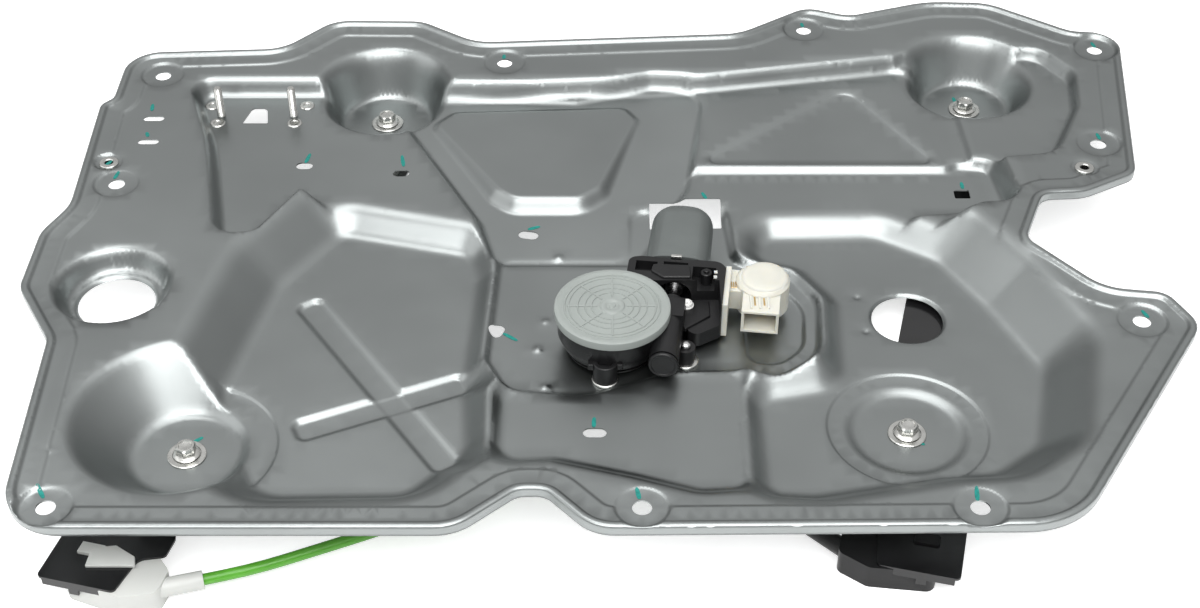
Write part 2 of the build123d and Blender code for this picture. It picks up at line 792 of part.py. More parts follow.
def stud_plates():
    """Reinforcing plates under the sheet, one at each stud."""
    high = deck_z - sheet
    solids = []
    for x, y in stud_places():
        shape = block(x, y, 30, 36, high - stud_plate_sheet, high)
        shape -= disc(x, y, stud_shank, high - 9, high + 1)
        solids.append(shape - [disc(rx, ry, rivet_shank, high - 9, high + 1) for rx, ry in rivet_places()])
    return Compound(solids)


def studs():
    """Two threaded studs that stand through the sheet."""
    low = deck_z - sheet - stud_plate_sheet
    solids = []
    for x, y in stud_places():
        shape = disc(x, y, stud_radius, deck_z, deck_z + stud_height - 1)
        shape += cone(x, y, stud_radius, deck_z + stud_height - 1, deck_z + stud_height, -0.8)
        shape += disc(x, y, stud_shank, low - 2, deck_z + stud_step)
        solids.append(shape + disc(x, y, stud_radius + 3, low - 2, low))
    return Compound(solids)


def rivets():
    """Four rivets that hold the stud plates."""
    low = deck_z - sheet - stud_plate_sheet
    solids = []
    for x, y in rivet_places():
        shape = disc(x, y, rivet_shank, low - 1, deck_z)
        shape += cone(x, y, rivet_radius, deck_z, deck_z + 1.2, -1.2)
        solids.append(shape + disc(x, y, rivet_radius, low - 1.2, low))
    return Compound(solids)


def insert_nuts():
    """Threaded inserts clinched in their round seats."""
    solids = []
    for x, y in nut_holes:
        shape = disc(x, y, nut_flange_radius, 0, 1.2) + disc(x, y, nut_body_radius, -8, 0.5)
        solids.append(shape - disc(x, y, nut_radius, -9, 2))
    return Compound(solids)


def worm_frame():
    """Frame of the motor: origin beside the wheel, +Y along the worm towards the motor can."""
    turn = radians(worm_tilt)
    x = wheel_x + worm_distance * cos(turn)
    y = wheel_y - worm_distance * sin(turn)
    return Pos(x, y, 0) * Rot(0, 0, -worm_tilt)


def bore(radius, start, end):
    """Cylinder on the worm's own axis, in the motor's frame."""
    return along((0, start, motor_z), (0, end, motor_z), radius)


housing_floor = motor_pad_z + foot_gap
bowl_inside = wheel_radius + bowl_room


def gear_housing():
    """Moulded gear housing: bowl, worm tube and three screw bosses."""
    high = cover_z
    low = housing_floor
    growth = (bowl_radius - bowl_low_radius) / 12
    shape = cone(wheel_x, wheel_y, bowl_low_radius, low, low + 12, growth)
    shape += disc(wheel_x, wheel_y, bowl_radius, low + 12, high)
    shape += worm_frame() * bore(tube_radius, -tube_front, tube_back)
    reach = tube_back - 6
    shape += worm_frame() * block(-4, reach / 2 + 3, 26, reach, low + 2, motor_z + tube_radius)
    for (x, y), top in zip(boss_points, boss_tops):
        shape += disc(x, y, boss_radius, motor_pad_z, top)
    shape += arm(boss_points[1], (wheel_x + 26, wheel_y), low, boss_tops[1] - 3)
    shape += arm(boss_points[2], (wheel_x + 26, wheel_y + 12), low, boss_tops[2] - 3)
    shape += arm(boss_points[0], (wheel_x, wheel_y - 26), low, boss_tops[0] - 3)
    shape += disc(wheel_x, wheel_y, spigot_radius, low - foot_gap - spigot_length, low)
    room = disc(wheel_x, wheel_y, bowl_inside, low + floor_thickness, high + 1)
    cuts = [room, worm_frame() * bore(worm_tip() + 0.8, -worm_length / 2 - 2, tube_back + 1)]
    cuts.append(worm_frame() * bore(shaft_radius + shaft_fit, -tube_front + 3, 0))
    screws = zip(boss_points, boss_tops)
    cuts += [disc(x, y, screw_radius, motor_pad_z - 9, top + 1) for (x, y), top in screws]
    cuts.append(disc(*boss_points[2], screw_head_radius + screw_head_room, boss_tops[2], high + 1))
    cuts.append(disc(wheel_x, wheel_y, output_radius + output_fit, -40, 0))
    shape -= cuts
    seat_low = low + floor_thickness
    shape += hollow_cylinder(wheel_x, wheel_y, output_radius + output_fit, 12, seat_low, wheel_low())
    return shape


def arm(start, end, low, high):
    """Web from a screw boss to the bowl."""
    run = Vector(end[0] - start[0], end[1] - start[1], 0)
    turn = degrees(atan(run.Y / run.X)) if abs(run.X) > 1e-6 else 90
    x = (start[0] + end[0]) / 2
    y = (start[1] + end[1]) / 2
    return block(x, y, run.length, 2 * boss_radius - 3, low, high, turn)


def worm_tip():
    """Outer radius of the worm, just clear of the wheel."""
    return worm_distance - wheel_radius - gear_gap


def wheel_low():
    """Underside of the worm wheel."""
    return motor_z - wheel_width / 2


def gear_cover():
    """Round ribbed cover pressed over the bowl."""
    high = cover_z + cover_thickness
    shape = disc(wheel_x, wheel_y, cover_radius, cover_z, high - 0.8)
    shape += cone(wheel_x, wheel_y, cover_radius, high - 0.8, high, -1.2)
    shape -= disc(wheel_x, wheel_y, bowl_radius - 3, cover_z - 1, high - cover_skin)
    for radius in cover_rings:
        shape -= hollow_cylinder(wheel_x, wheel_y, radius - 0.5, radius + 0.5, high - 0.6, high + 1)
    shape += disc(wheel_x, wheel_y, 7, high - cover_skin, high + 0.8)
    shape -= disc(wheel_x, wheel_y, 2.4, high - 0.2, high + 2)
    for i in range(cover_ribs):
        rib = Pos(22, 0, high - 0.7) * Box(18, 1.2, 1.4, align=(Align.CENTER, Align.CENTER, Align.MIN))
        shape += Pos(wheel_x, wheel_y, 0) * Rot(0, 0, i * 360 / cover_ribs) * rib
    return shape


def worm_wheel():
    """Moulded worm wheel with a recess for the rubber coupling."""
    low = wheel_low()
    high = low + wheel_width
    shape = disc(0, 0, wheel_radius - tooth_depth, low, high)
    step = 360 / wheel_teeth
    root = wheel_radius - tooth_depth
    width = pi * root / wheel_teeth
    foot = root - 0.5
    half_foot = width * 0.6
    half_tip = width * 0.3
    points = [(foot, -half_foot), (wheel_radius, -half_tip), (wheel_radius, half_tip), (foot, half_foot)]
    tooth = Pos(0, 0, low) * extrude(Polygon(*points, align=None), wheel_width)
    shape += [Rot(0, 0, i * step) * tooth for i in range(wheel_teeth)]
    shape -= disc(0, 0, damper_radius, high - damper_depth, high + 1)
    shape -= disc(0, 0, output_radius + output_fit, low - 1, high + 1)
    return Pos(wheel_x, wheel_y, 0) * shape


def damper():
    """Three rubber blocks between wheel and driver."""
    low = wheel_low() + wheel_width - damper_depth
    ring = hollow_cylinder(0, 0, damper_inner, damper_radius - damper_fit, low, low + damper_depth - 0.2)
    gap = driver_tab + 2 * damper_fit
    for i in range(3):
        cut = Pos(damper_radius / 2 + 4, 0, low - 1) * Box(
            damper_radius, gap, 9, align=(Align.CENTER, Align.CENTER, Align.MIN))
        ring -= Rot(0, 0, i * 120) * cut
    return Pos(wheel_x, wheel_y, 0) * ring


def driver():
    """Steel driver on the output shaft with three tabs between the rubber blocks."""
    low = wheel_low() + wheel_width
    shape = hollow_cylinder(0, 0, output_radius, damper_radius - 1, low, low + driver_thickness)
    for i in range(3):
        tab = Pos(15, 0, low - damper_depth + 1) * Box(
            9, driver_tab, damper_depth - 1, align=(Align.CENTER, Align.CENTER, Align.MIN))
        shape += Rot(0, 0, i * 120) * tab
    return Pos(wheel_x, wheel_y, 0) * shape


def output_shaft():
    """Output shaft from the driver down through the drum."""
    high = wheel_low() + wheel_width + driver_thickness
    low = lowest_z + case_floor + 0.2
    shape = disc(wheel_x, wheel_y, output_radius, low, high)
    return shape - disc(wheel_x, wheel_y, 2.2, high - 6, high + 1)


def cable_drum():
    """Grooved drum on the output shaft."""
    half = drum_width / 2
    shape = disc(0, 0, drum_radius + drum_rim, -half, half)
    floor = drum_radius - cable_radius - cable_gap
    groove = drum_groove + cable_radius + cable_gap
    shape -= hollow_cylinder(0, 0, floor, drum_radius + 9, -groove, groove)
    shape -= disc(0, 0, output_radius, -half - 1, half + 1)
    return Pos(wheel_x, wheel_y, cable_z) * shape


def cable_wraps():
    """Turns of cable that lie on the drum, on both sides of the running cables."""
    floor = drum_radius - cable_radius - cable_gap
    face = RegularPolygon(floor + 2 * cable_radius, wrap_sides, major_radius=False)
    face -= RegularPolygon(floor, wrap_sides, major_radius=False)
    ring = extrude(face, 2 * cable_radius)
    levels = (cable_z - drum_groove - cable_radius, cable_z + drum_groove - cable_radius)
    return Compound([Pos(wheel_x, wheel_y, level) * ring for level in levels])


def drum_line(angle, distance, hand):
    """Point on a cable that leaves the drum at an angle, at a distance from the drum."""
    turn = radians(angle)
    x = wheel_x + hand * drum_radius * -sin(turn) + distance * cos(turn)
    y = wheel_y + hand * drum_radius * cos(turn) + distance * sin(turn)
    return (x, y, cable_z)


def drum_exits():
    """Angle and hand of the two cables that leave the drum."""
    return [(first_angle, 1), (second_angle, -1)]


def drum_case():
    """Moulded case round the drum, screwed under the plate, with two conduit sockets."""
    high = motor_pad_z - sheet
    outer = drum_radius + drum_rim + drum_room + case_wall
    shape = disc(wheel_x, wheel_y, outer, lowest_z, high)
    shape += disc(wheel_x, wheel_y, case_core, high - case_flange, high)
    for x, y in boss_points:
        shape += disc(x, y, case_boss, high - case_flange - 5, high)
        shape += arm((x, y), (wheel_x + 0.01, wheel_y), high - case_flange, high)
    start = outer - 12
    for angle, hand in drum_exits():
        mouth = drum_socket_end + socket_depth
        shape += along(drum_line(angle, start, hand), drum_line(angle, mouth, hand), socket_radius)
    shape -= disc(wheel_x, wheel_y, outer - case_wall, lowest_z + case_floor, high + 1)
    for angle, hand in drum_exits():
        mouth = drum_socket_end + socket_depth
        shape -= along(drum_line(angle, 0, hand), drum_line(angle, mouth, hand), cable_channel)
        end = drum_line(angle, mouth + 1, hand)
        shape -= along(drum_line(angle, drum_socket_end, hand), end, conduit_radius + conduit_fit)
    return shape - [disc(x, y, screw_radius, lowest_z, high + 1) for x, y in boss_points]


def drum_cables():
    """Straight cable ends between drum and conduits."""
    solids = []
    for angle, hand in drum_exits():
        solids.append(along(drum_line(angle, 0, hand), drum_line(angle, drum_socket_end, hand), cable_radius))
    return Compound(solids)


def motor_screws():
    """Three screws from below that clamp drum case, plate and gear housing."""
    solids = []
    high = motor_pad_z - sheet - case_flange - 5
    low = high - screw_head_height
    for (x, y), top in zip(boss_points, boss_tops):
        shape = disc(x, y, screw_radius, low, top - 7) + disc(x, y, screw_head_radius, low, high)
        solids.append(shape - hexagon(x, y, 3.4, low - 1, low + 1.8))
    return Compound(solids)


def housing_screw():
    """Bright screw that holds the brush frame's corner to the gear housing."""
    x, y = boss_points[2]
    top = boss_tops[2]
    shape = disc(x, y, screw_radius, top - 6, top)
    shape += cone(x, y, screw_head_radius, top, top + screw_head_height, -0.3)
    return shape - disc(x, y, 1.6, top + 1.6, top + 9)


def brush_frame():
    """Black frame between gear housing and motor can, with open pockets on top."""
    low = motor_z - frame_half_height
    high = motor_z + frame_half_height
    corners = [
        (-frame_left, frame_back - 22, 4), (-frame_left, frame_back - 2, 6), (-frame_left + 8, frame_back, 6),
        (frame_right - 4, frame_back, 8), (frame_right, frame_back - 6, 5), (frame_right, 12, 4), (18, 0, 5),
        (12, 4, 3), (12, tube_back, 3), (-12, tube_back, 3),
    ]
    shape = worm_frame() * plate(corners, low, high)
    shape -= disc(wheel_x, wheel_y, cover_radius + 0.3, low - 1, high + 1)
    for x, y in boss_points:
        shape -= disc(x, y, boss_radius + 0.3, low - 1, high + 1)
    place = worm_frame()
    pockets = [
        place * block(-19, frame_back - 10, 14, 10, high - 7, high + 1),
        place * block(19, frame_back - 14, 15, 14, high - 9, high + 1),
        place * block(0, frame_back - 9, 16, 10, high - 2, high + 1),
        place * bore(armature_radius + 1.2, tube_back + 3, frame_back + 1),
        place * bore(shaft_radius + shaft_fit, tube_back - 9, tube_back + 9),
    ]
    shape -= pockets
    shape -= parts["gear_housing"]
    return shape.solids().sort_by(SortBy.VOLUME)[-1]


def can_profile(inset):
    """Oval section of the motor can, seen along its axis."""
    width = 2 * (can_half_width - inset)
    height = 2 * (can_half_height - inset)
    return RectangleRounded(width, height, height * 0.48)


def motor_can():
    """Drawn oval motor can with a closed end and a bearing boss."""
    start = Plane((0, frame_back, motor_z), x_dir=(1, 0, 0), z_dir=(0, 1, 0))
    outer = extrude(start * can_profile(0), can_length)
    outer = chamfer(outer.faces().sort_by(Axis.Y)[-1].edges(), can_edge)
    inner = extrude(start * can_profile(can_wall), can_length - can_wall)
    inner = chamfer(inner.faces().sort_by(Axis.Y)[-1].edges(), can_edge - 0.6 * can_wall)
    end = frame_back + can_length - can_wall
    boss = bore(5.5, end - 5, end)
    hole = bore(shaft_radius + shaft_fit, end - 6, end)
    return worm_frame() * (outer - inner + boss - hole)


def magnets():
    """Two curved magnets inside the can."""
    ring = bore(magnet_radius, frame_back + 8, frame_back + 50)
    ring -= bore(magnet_inner, frame_back, frame_back + 60)
    gap = Pos(0, frame_back + 30, motor_z) * Box(9, 90, 60)
    return worm_frame() * (ring - gap)


def armature():
    """Armature with its shaft, commutator, laminated core and worm."""
    end = frame_back + can_length - can_wall - 0.5
    front = -tube_front + 3.5
    shape = bore(shaft_radius, front, end)
    shape += bore(commutator_radius, tube_back + 16, frame_back - 2)
    core = bore(armature_radius, frame_back + 10, frame_back + 10 + armature_length)
    slots_cut = []
    for i in range(8):
        cut = Rot(0, i * 45, 0) * Pos(0, 0, armature_radius) * Box(1.6, 2 * armature_length, 7)
        slots_cut.append(Pos(0, frame_back + 30, motor_z) * cut)
    shape += core - slots_cut
    return worm_frame() * shape


def worm():
    """Worm pressed on the armature shaft, with its thread as a row of ridges."""
    half = worm_length / 2
    root = worm_tip() - tooth_depth
    points = [(shaft_radius, half), (shaft_radius, -half), (root, -half)]
    for i in range(int(worm_length / worm_pitch)):
        crest = -half + (i + 0.5) * worm_pitch
        points += [(worm_tip(), crest), (root, crest + worm_pitch / 2)]
    ridges = revolve(make_face(Polyline(*points, close=True)), Axis.Y)
    return worm_frame() * Pos(0, 0, motor_z) * ridges


def connector():
    """Natural nylon connector: flange, barrel and open mouth."""
    shape = block(
        frame_right + connector_plate / 2, (connector_start + connector_end) / 2, connector_plate,
        connector_end - connector_start, connector_low, connector_high)
    shape += disc(barrel_x, barrel_y, barrel_radius, barrel_low, barrel_high - 2)
    shape += cone(barrel_x, barrel_y, barrel_radius, barrel_high - 2, barrel_high, -1.0)
    neck = barrel_x - frame_right
    shape += block(frame_right + neck / 2, barrel_y, neck, 22, barrel_low + 3, barrel_high - 4)
    mouth_run = barrel_y - mouth_front
    shape += block(barrel_x, mouth_front + mouth_run / 2, 2 * mouth_half, mouth_run, mouth_low, mouth_high)
    inside = 2 * (mouth_half - connector_wall)
    depth = mouth_run - 4
    shape -= block(barrel_x, mouth_front + depth / 2 - 1, inside, depth + 2, mouth_low + connector_wall,
                   mouth_high - connector_wall)
    return worm_frame() * shape


def terminals():
    """Brass blades in the connector's mouth."""
    back = barrel_y - 4
    solids = []
    for i in range(terminal_count):
        x = barrel_x + (i - (terminal_count - 1) / 2) * 8
        z = (mouth_low + mouth_high) / 2
        solids.append(worm_frame() * block(x, back - 8, terminal_width, 16, z - 3, z + 3))
    return Compound(solids)


def socket_start(side):
    """Lower conduit end at a rail and the next point straight out of it."""
    first = lower_exit(lower_socket_reach - socket_depth)
    second = lower_exit(lower_socket_reach + 30)
    return [rail_point(side, *first), rail_point(side, *second)]


def upper_end(side):
    """Upper conduit end at a rail, after the last point straight below it."""
    y = half_pitch - 4 + socket_depth
    return [rail_point(side, 2 * pulley_radius, y - 55), rail_point(side, 2 * pulley_radius, y)]


def conduit(name, points):
    """Conduit of straight runs joined by the largest arcs that they allow."""
    vectors = [Vector(*point) for point in points]
    radii = []
    for before, corner, after in zip(vectors, vectors[1:], vectors[2:]):
        turn = (corner - before).get_angle(after - corner)
        shorter = min((corner - before).length, (after - corner).length)
        radii.append(0.45 * shorter / tan(radians(turn) / 2))
    print(name, "radii", [round(radius) for radius in radii])
    return turned(FilletPolyline(*vectors, radius=radii), conduit_radius, conduit_sides)


def upper_left_conduit():
    """Conduit from the drum to the left pulley."""
    near, end = upper_end("left")
    points = [
        drum_line(first_angle, drum_socket_end, 1), drum_line(first_angle, drum_socket_end + 60, 1),
        (-112, 292, cable_z), (-150, 336, cable_z), (*near, cable_z), (*end, cable_z),
    ]
    return conduit("upper_left_conduit", points)


def crossing_conduit():
    """Green conduit from the left rail's foot across to the right pulley."""
    start, out = socket_start("left")
    near, end = upper_end("right")
    points = [(*start, cable_z), (*out, cable_z)] + crossing_points + [(*near, cable_z), (*end, cable_z)]
    return conduit("crossing_conduit", points)


def lower_right_conduit():
    """Conduit from the right rail's foot back to the drum."""
    start, out = socket_start("right")
    points = [
        (*start, cable_z), (*out, cable_z), (44, 84, crossing_dip), (16, 108, crossing_dip),
        drum_line(second_angle, drum_socket_end + 12, -1), drum_line(second_angle, drum_socket_end, -1),
    ]
    return conduit("lower_right_conduit", points)


def conduit_clip(place, level):
    """Clip that hangs from the plate and holds the crossing conduit."""
    x, y, turn = place
    low = crossing_z - conduit_radius - clip_wall
    width = 2 * (conduit_radius + clip_wall)
    shape = block(0, 0, clip_width, width, low, level)
    shape -= along((-9, 0, crossing_z), (9, 0, crossing_z), conduit_radius + conduit_fit)
    shape -= block(0, 0, clip_width + 2, conduit_radius, low - 1, crossing_z)
    return Pos(x, y, 0) * Rot(0, 0, turn) * shape


def clips():
    """Clips along the crossing conduit."""
    levels = [front_z - sheet, right_basin_z - sheet]
    return Compound([conduit_clip(place, level) for place, level in zip(clip_places, levels)])


keep("carrier_plate", carrier_plate())
for side in ("left", "right"):
    keep(f"{side}_rail", rail(side))
    keep(f"{side}_lower_guide", lower_guide(side))
    keep(f"{side}_upper_guide", upper_guide(side))
    keep(f"{side}_pulley", pulley(side))
    keep(f"{side}_rail_cable", rail_cable(side))
    keep(f"{side}_slider", slider(side))
    keep(f"{side}_nipples", nipples(side))
    keep(f"{side}_glass_bracket", glass_bracket(side))
    keep(f"{side}_glass_nuts", glass_nuts(side))
keep("pulley_pins", pulley_pins())
keep("rail_bolts", at_discs(rail_bolt))
keep("rail_washers", at_discs(rail_washer))
keep("rail_nuts", at_discs(rail_nut))
keep("stud_plates", stud_plates())
keep("plate_studs", studs())
keep("stud_rivets", rivets())
keep("insert_nuts", insert_nuts())
keep("gear_housing", gear_housing())
keep("gear_cover", gear_cover())
keep("worm_wheel", worm_wheel())
keep("rubber_damper", damper())
keep("wheel_driver", driver())
keep("output_shaft", output_shaft())
keep("cable_drum", cable_drum())
keep("cable_wraps", cable_wraps())
keep("drum_case", drum_case())
keep("drum_cables", drum_cables())
keep("motor_screws", motor_screws())
keep("housing_screw", housing_screw())
keep("brush_frame", brush_frame())
keep("motor_can", motor_can())
keep("motor_magnets", magnets())
keep("armature", armature())
keep("worm", worm())
keep("motor_connector", connector())
keep("connector_terminals", terminals())
keep("upper_left_conduit", upper_left_conduit())
keep("crossing_conduit", crossing_conduit())
keep("lower_right_conduit", lower_right_conduit())
keep("conduit_clips", clips())

for name, shape in parts.items():
    export_step(shape, f"parts/{name}.step")
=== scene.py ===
# %% [markdown]
# A power window regulator is a pressed steel plate that fills the hole in a car door. The gear
# motor sits on its front, and two guide rails, a drum and cables sit behind it. This lesson dresses
# the engineering model of one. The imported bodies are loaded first, and each piece made here sits on
# them in metres, in the same frame: +X along the plate, +Y up the door, +Z out on the motor side.

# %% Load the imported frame
import bpy
import bmesh
import math
import numpy as np
from mathutils import Matrix, Vector
from mathutils.geometry import delaunay_2d_cdt


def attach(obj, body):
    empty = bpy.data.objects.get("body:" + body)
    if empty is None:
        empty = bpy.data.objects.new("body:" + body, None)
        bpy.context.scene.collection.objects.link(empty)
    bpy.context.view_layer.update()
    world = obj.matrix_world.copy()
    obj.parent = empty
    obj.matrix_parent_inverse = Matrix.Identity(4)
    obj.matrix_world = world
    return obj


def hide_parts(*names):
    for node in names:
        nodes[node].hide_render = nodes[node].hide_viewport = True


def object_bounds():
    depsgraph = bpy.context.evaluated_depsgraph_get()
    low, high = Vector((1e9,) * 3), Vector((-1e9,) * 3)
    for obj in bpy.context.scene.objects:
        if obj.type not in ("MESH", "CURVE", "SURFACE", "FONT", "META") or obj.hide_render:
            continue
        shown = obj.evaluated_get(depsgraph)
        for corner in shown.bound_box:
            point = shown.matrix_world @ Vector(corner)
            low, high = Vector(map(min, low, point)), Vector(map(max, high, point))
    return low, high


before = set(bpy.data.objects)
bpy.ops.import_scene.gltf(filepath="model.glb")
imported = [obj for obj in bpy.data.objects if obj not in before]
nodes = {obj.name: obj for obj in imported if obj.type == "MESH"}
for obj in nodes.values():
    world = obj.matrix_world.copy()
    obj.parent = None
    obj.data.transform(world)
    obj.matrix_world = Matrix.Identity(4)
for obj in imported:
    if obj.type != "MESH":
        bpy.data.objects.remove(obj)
cad_low, cad_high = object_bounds()
MM = 0.001

# %% [markdown]
# The photograph looks down on the plate from the front with a long lens. The lower edge runs level
# in the picture, so the camera has no roll and no sideways turn. Three numbers are then enough: how
# far it looks down, how far away it stands, and how long the lens is. They were fitted to holes
# that lie in one plane.

# %% Place the camera
PHOTO_WIDTH, FOCAL_LENGTH = 1200, 1809  # pixels
LOOK_DOWN = math.radians(50.0)


def add_object(name, data):
    made = bpy.data.objects.new(name, data)
    bpy.context.scene.collection.objects.link(made)
    return made


camera = add_object("camera", bpy.data.cameras.new("camera"))
camera.data.sensor_width = 36.0
camera.data.lens = camera.data.sensor_width * FOCAL_LENGTH / PHOTO_WIDTH
camera.location = (-0.0238, -0.7099, 0.746)
camera.rotation_euler = (LOOK_DOWN, 0.0, 0.0)
camera.data.clip_start = 0.01
bpy.context.scene.camera = camera
print("lens", round(camera.data.lens, 1), "mm")

# %% [markdown]
# Bare metal shows what stands around it more than its own colour. One broad soft lamp hangs above
# the part, a larger one in front lights the slopes that lean towards the camera, and a weak one at
# the left lifts the shadows. A white backdrop would light the object too much, so the world gives
# its full white only to rays that look at it, straight, by reflection or through something clear.

# %% Build the floor, world and lamps
FLOOR_SPAN, FLOOR_GAP = (-6.0, 6.0), 0.0005
WORLD_FILL = 0.5  # share of the white that reaches the object as light
FLOOR_GLOW = 0.62
WHITE = (1.0, 1.0, 1.0, 1.0)


def feed(tree, socket, value):
    if isinstance(value, bpy.types.NodeSocket):
        tree.links.new(value, socket)
    else:
        socket.default_value = value


def set_inputs(node, **values):
    for label, value in values.items():
        node.inputs[label.replace("_", " ")].default_value = value


def math_node(tree, operation, *values):
    node = tree.nodes.new("ShaderNodeMath")
    node.operation = operation
    for socket, value in zip(node.inputs, values):
        feed(tree, socket, value)
    return node.outputs[0]


def map_range(tree, value, source, target, curve="LINEAR"):
    node = tree.nodes.new("ShaderNodeMapRange")
    node.interpolation_type = curve
    labels = ("Value", "From Min", "From Max", "To Min", "To Max")
    for label, entry in zip(labels, (value, *source, *target)):
        feed(tree, node.inputs[label], entry)
    return node.outputs["Result"]


def looking_ray(tree):
    path = tree.nodes.new("ShaderNodeLightPath")
    direct = math_node(tree, "MAXIMUM", path.outputs["Is Camera Ray"], path.outputs["Is Glossy Ray"])
    return math_node(tree, "MAXIMUM", direct, path.outputs["Is Transmission Ray"])


world = bpy.data.worlds.new("studio")
bpy.context.scene.world = world
world.use_nodes = True
tree = world.node_tree
background = tree.nodes["Background"]
set_inputs(background, Color=WHITE)
direction = tree.nodes.new("ShaderNodeTexCoord")
split = tree.nodes.new("ShaderNodeSeparateXYZ")
tree.links.new(direction.outputs["Generated"], split.inputs[0])
white = map_range(tree, looking_ray(tree), (0.0, 1.0), (WORLD_FILL, 1.0))
sky = map_range(tree, split.outputs["Z"], (0.1, 0.95), (0.42, 1.0), "SMOOTHSTEP")
tree.links.new(math_node(tree, "MULTIPLY", white, sky), background.inputs["Strength"])


def rectangle(x, y):
    return [(x[0], y[0]), (x[1], y[0]), (x[1], y[1]), (x[0], y[1])]


floor_z = cad_low.z - FLOOR_GAP
floor_mesh = bpy.data.meshes.new("floor")
floor_corners = [(x, y, floor_z) for x, y in rectangle(FLOOR_SPAN, FLOOR_SPAN)]
floor_mesh.from_pydata(floor_corners, [], [(0, 1, 2, 3)])
floor = add_object("floor", floor_mesh)
floor_material = bpy.data.materials.new("pale_floor")
floor_material.use_nodes = True
tree = floor_material.node_tree
floor_shader = tree.nodes["Principled BSDF"]
set_inputs(floor_shader, Base_Color=(0.9, 0.9, 0.9, 1.0), Roughness=0.9, Specular_IOR_Level=0.1)
set_inputs(floor_shader, Emission_Color=WHITE)
glow = math_node(tree, "MULTIPLY", looking_ray(tree), FLOOR_GLOW)
tree.links.new(glow, floor_shader.inputs["Emission Strength"])
floor_mesh.materials.append(floor_material)


def add_lamp(name, place, size, power, target=(0.0, 0.25, 0.0)):
    lamp = bpy.data.lights.new(name, "AREA")
    lamp.shape = "RECTANGLE"
    lamp.size, lamp.size_y = size
    lamp.energy = power
    lamp_object = add_object(name, lamp)
    lamp_object.location = place
    lamp_object.rotation_euler = (Vector(target) - Vector(place)).to_track_quat("-Z", "Y").to_euler()


add_lamp("soft_top", (-0.1, 0.1, 1.5), (1.6, 0.7), 12.0)
add_lamp("soft_front", (-0.1, -0.8, 1.35), (1.8, 0.9), 25.0)
add_lamp("soft_left", (-1.5, 0.1, 0.8), (1.2, 1.2), 5.0)
bpy.context.scene.view_settings.view_transform = "Standard"
print("stage ready")

# %% [markdown]
# Small irregularities make a surface believable: a level sheet still has faint clouds in its zinc,
# and moulded plastic has a fine grain. Both are one effect with different numbers, so they are built
# once as node groups with named inputs. "cloud" gives a slow value around one, and "grain" turns a
# fine noise into a height for a bump.

# %% Build the shared shader groups
def new_group(name, inputs, output):
    group = bpy.data.node_groups.new(name, "ShaderNodeTree")
    for label, value in inputs.items():
        socket = group.interface.new_socket(name=label, in_out="INPUT", socket_type="NodeSocketFloat")
        socket.default_value = value
    group.interface.new_socket(name=output, in_out="OUTPUT", socket_type="NodeSocketFloat")
    return group, group.nodes.new("NodeGroupInput"), group.nodes.new("NodeGroupOutput")


def object_noise(group, enter, detail):
    place = group.nodes.new("ShaderNodeTexCoord")
    noise = group.nodes.new("ShaderNodeTexNoise")
    set_inputs(noise, Detail=detail)
    group.links.new(place.outputs["Object"], noise.inputs["Vector"])
    group.links.new(enter.outputs["Scale"], noise.inputs["Scale"])
    return noise.outputs["Fac"]


cloud, enter, leave = new_group("cloud", {"Scale": 8.0, "Low": 0.9, "High": 1.1}, "Value")
limits = (enter.outputs["Low"], enter.outputs["High"])
spread = map_range(cloud, object_noise(cloud, enter, 3.0), (0.3, 0.7), limits)
cloud.links.new(spread, leave.inputs["Value"])

grain, enter, leave = new_group("grain", {"Scale": 900.0, "Height": 1.0}, "Height")
amount = math_node(grain, "MULTIPLY", object_noise(grain, enter, 2.0), enter.outputs["Height"])
grain.links.new(amount, leave.inputs["Height"])
print("groups", len(bpy.data.node_groups))

# %% [markdown]
# Every finish on this part is one of three families: bare or plated metal, moulded plastic, and
# rubber. One short function makes any of them from a colour, a roughness and the two groups, and
# what is special about a finish is set on its own shader afterwards.

# %% Make the finishes
def place_group(tree, group, **values):
    node = tree.nodes.new("ShaderNodeGroup")
    node.node_tree = group
    set_inputs(node, **values)
    return node.outputs[0]


def finish(name, colour, roughness, metallic=0.0, clouds=(9.0, 0.93, 1.07), rough_clouds=0.1,
           fine=(900.0, 0.05)):
    cloud_scale, darkest, lightest = clouds
    fine_scale, fine_strength = fine
    material = bpy.data.materials.new(name)
    material.use_nodes = True
    tree = material.node_tree
    shader = tree.nodes["Principled BSDF"]
    set_inputs(shader, Metallic=metallic)
    tone = place_group(tree, cloud, Scale=cloud_scale, Low=darkest, High=lightest)
    tint = tree.nodes.new("ShaderNodeMix")
    tint.data_type = "RGBA"
    tint.blend_type = "MULTIPLY"
    tint.inputs[0].default_value = 1.0
    tint.inputs[6].default_value = (*colour, 1.0)
    tree.links.new(tone, tint.inputs[7])
    tree.links.new(tint.outputs[2], shader.inputs["Base Color"])
    low, high = roughness * (1 - rough_clouds), roughness * (1 + rough_clouds)
    gloss = place_group(tree, cloud, Scale=cloud_scale * 2.3, Low=low, High=high)
    tree.links.new(gloss, shader.inputs["Roughness"])
    surface = place_group(tree, grain, Scale=fine_scale, Height=1.0)
    bump = tree.nodes.new("ShaderNodeBump")
    set_inputs(bump, Strength=fine_strength, Distance=MM)
    tree.links.new(surface, bump.inputs["Height"])
    tree.links.new(bump.outputs["Normal"], shader.inputs["Normal"])
    return material


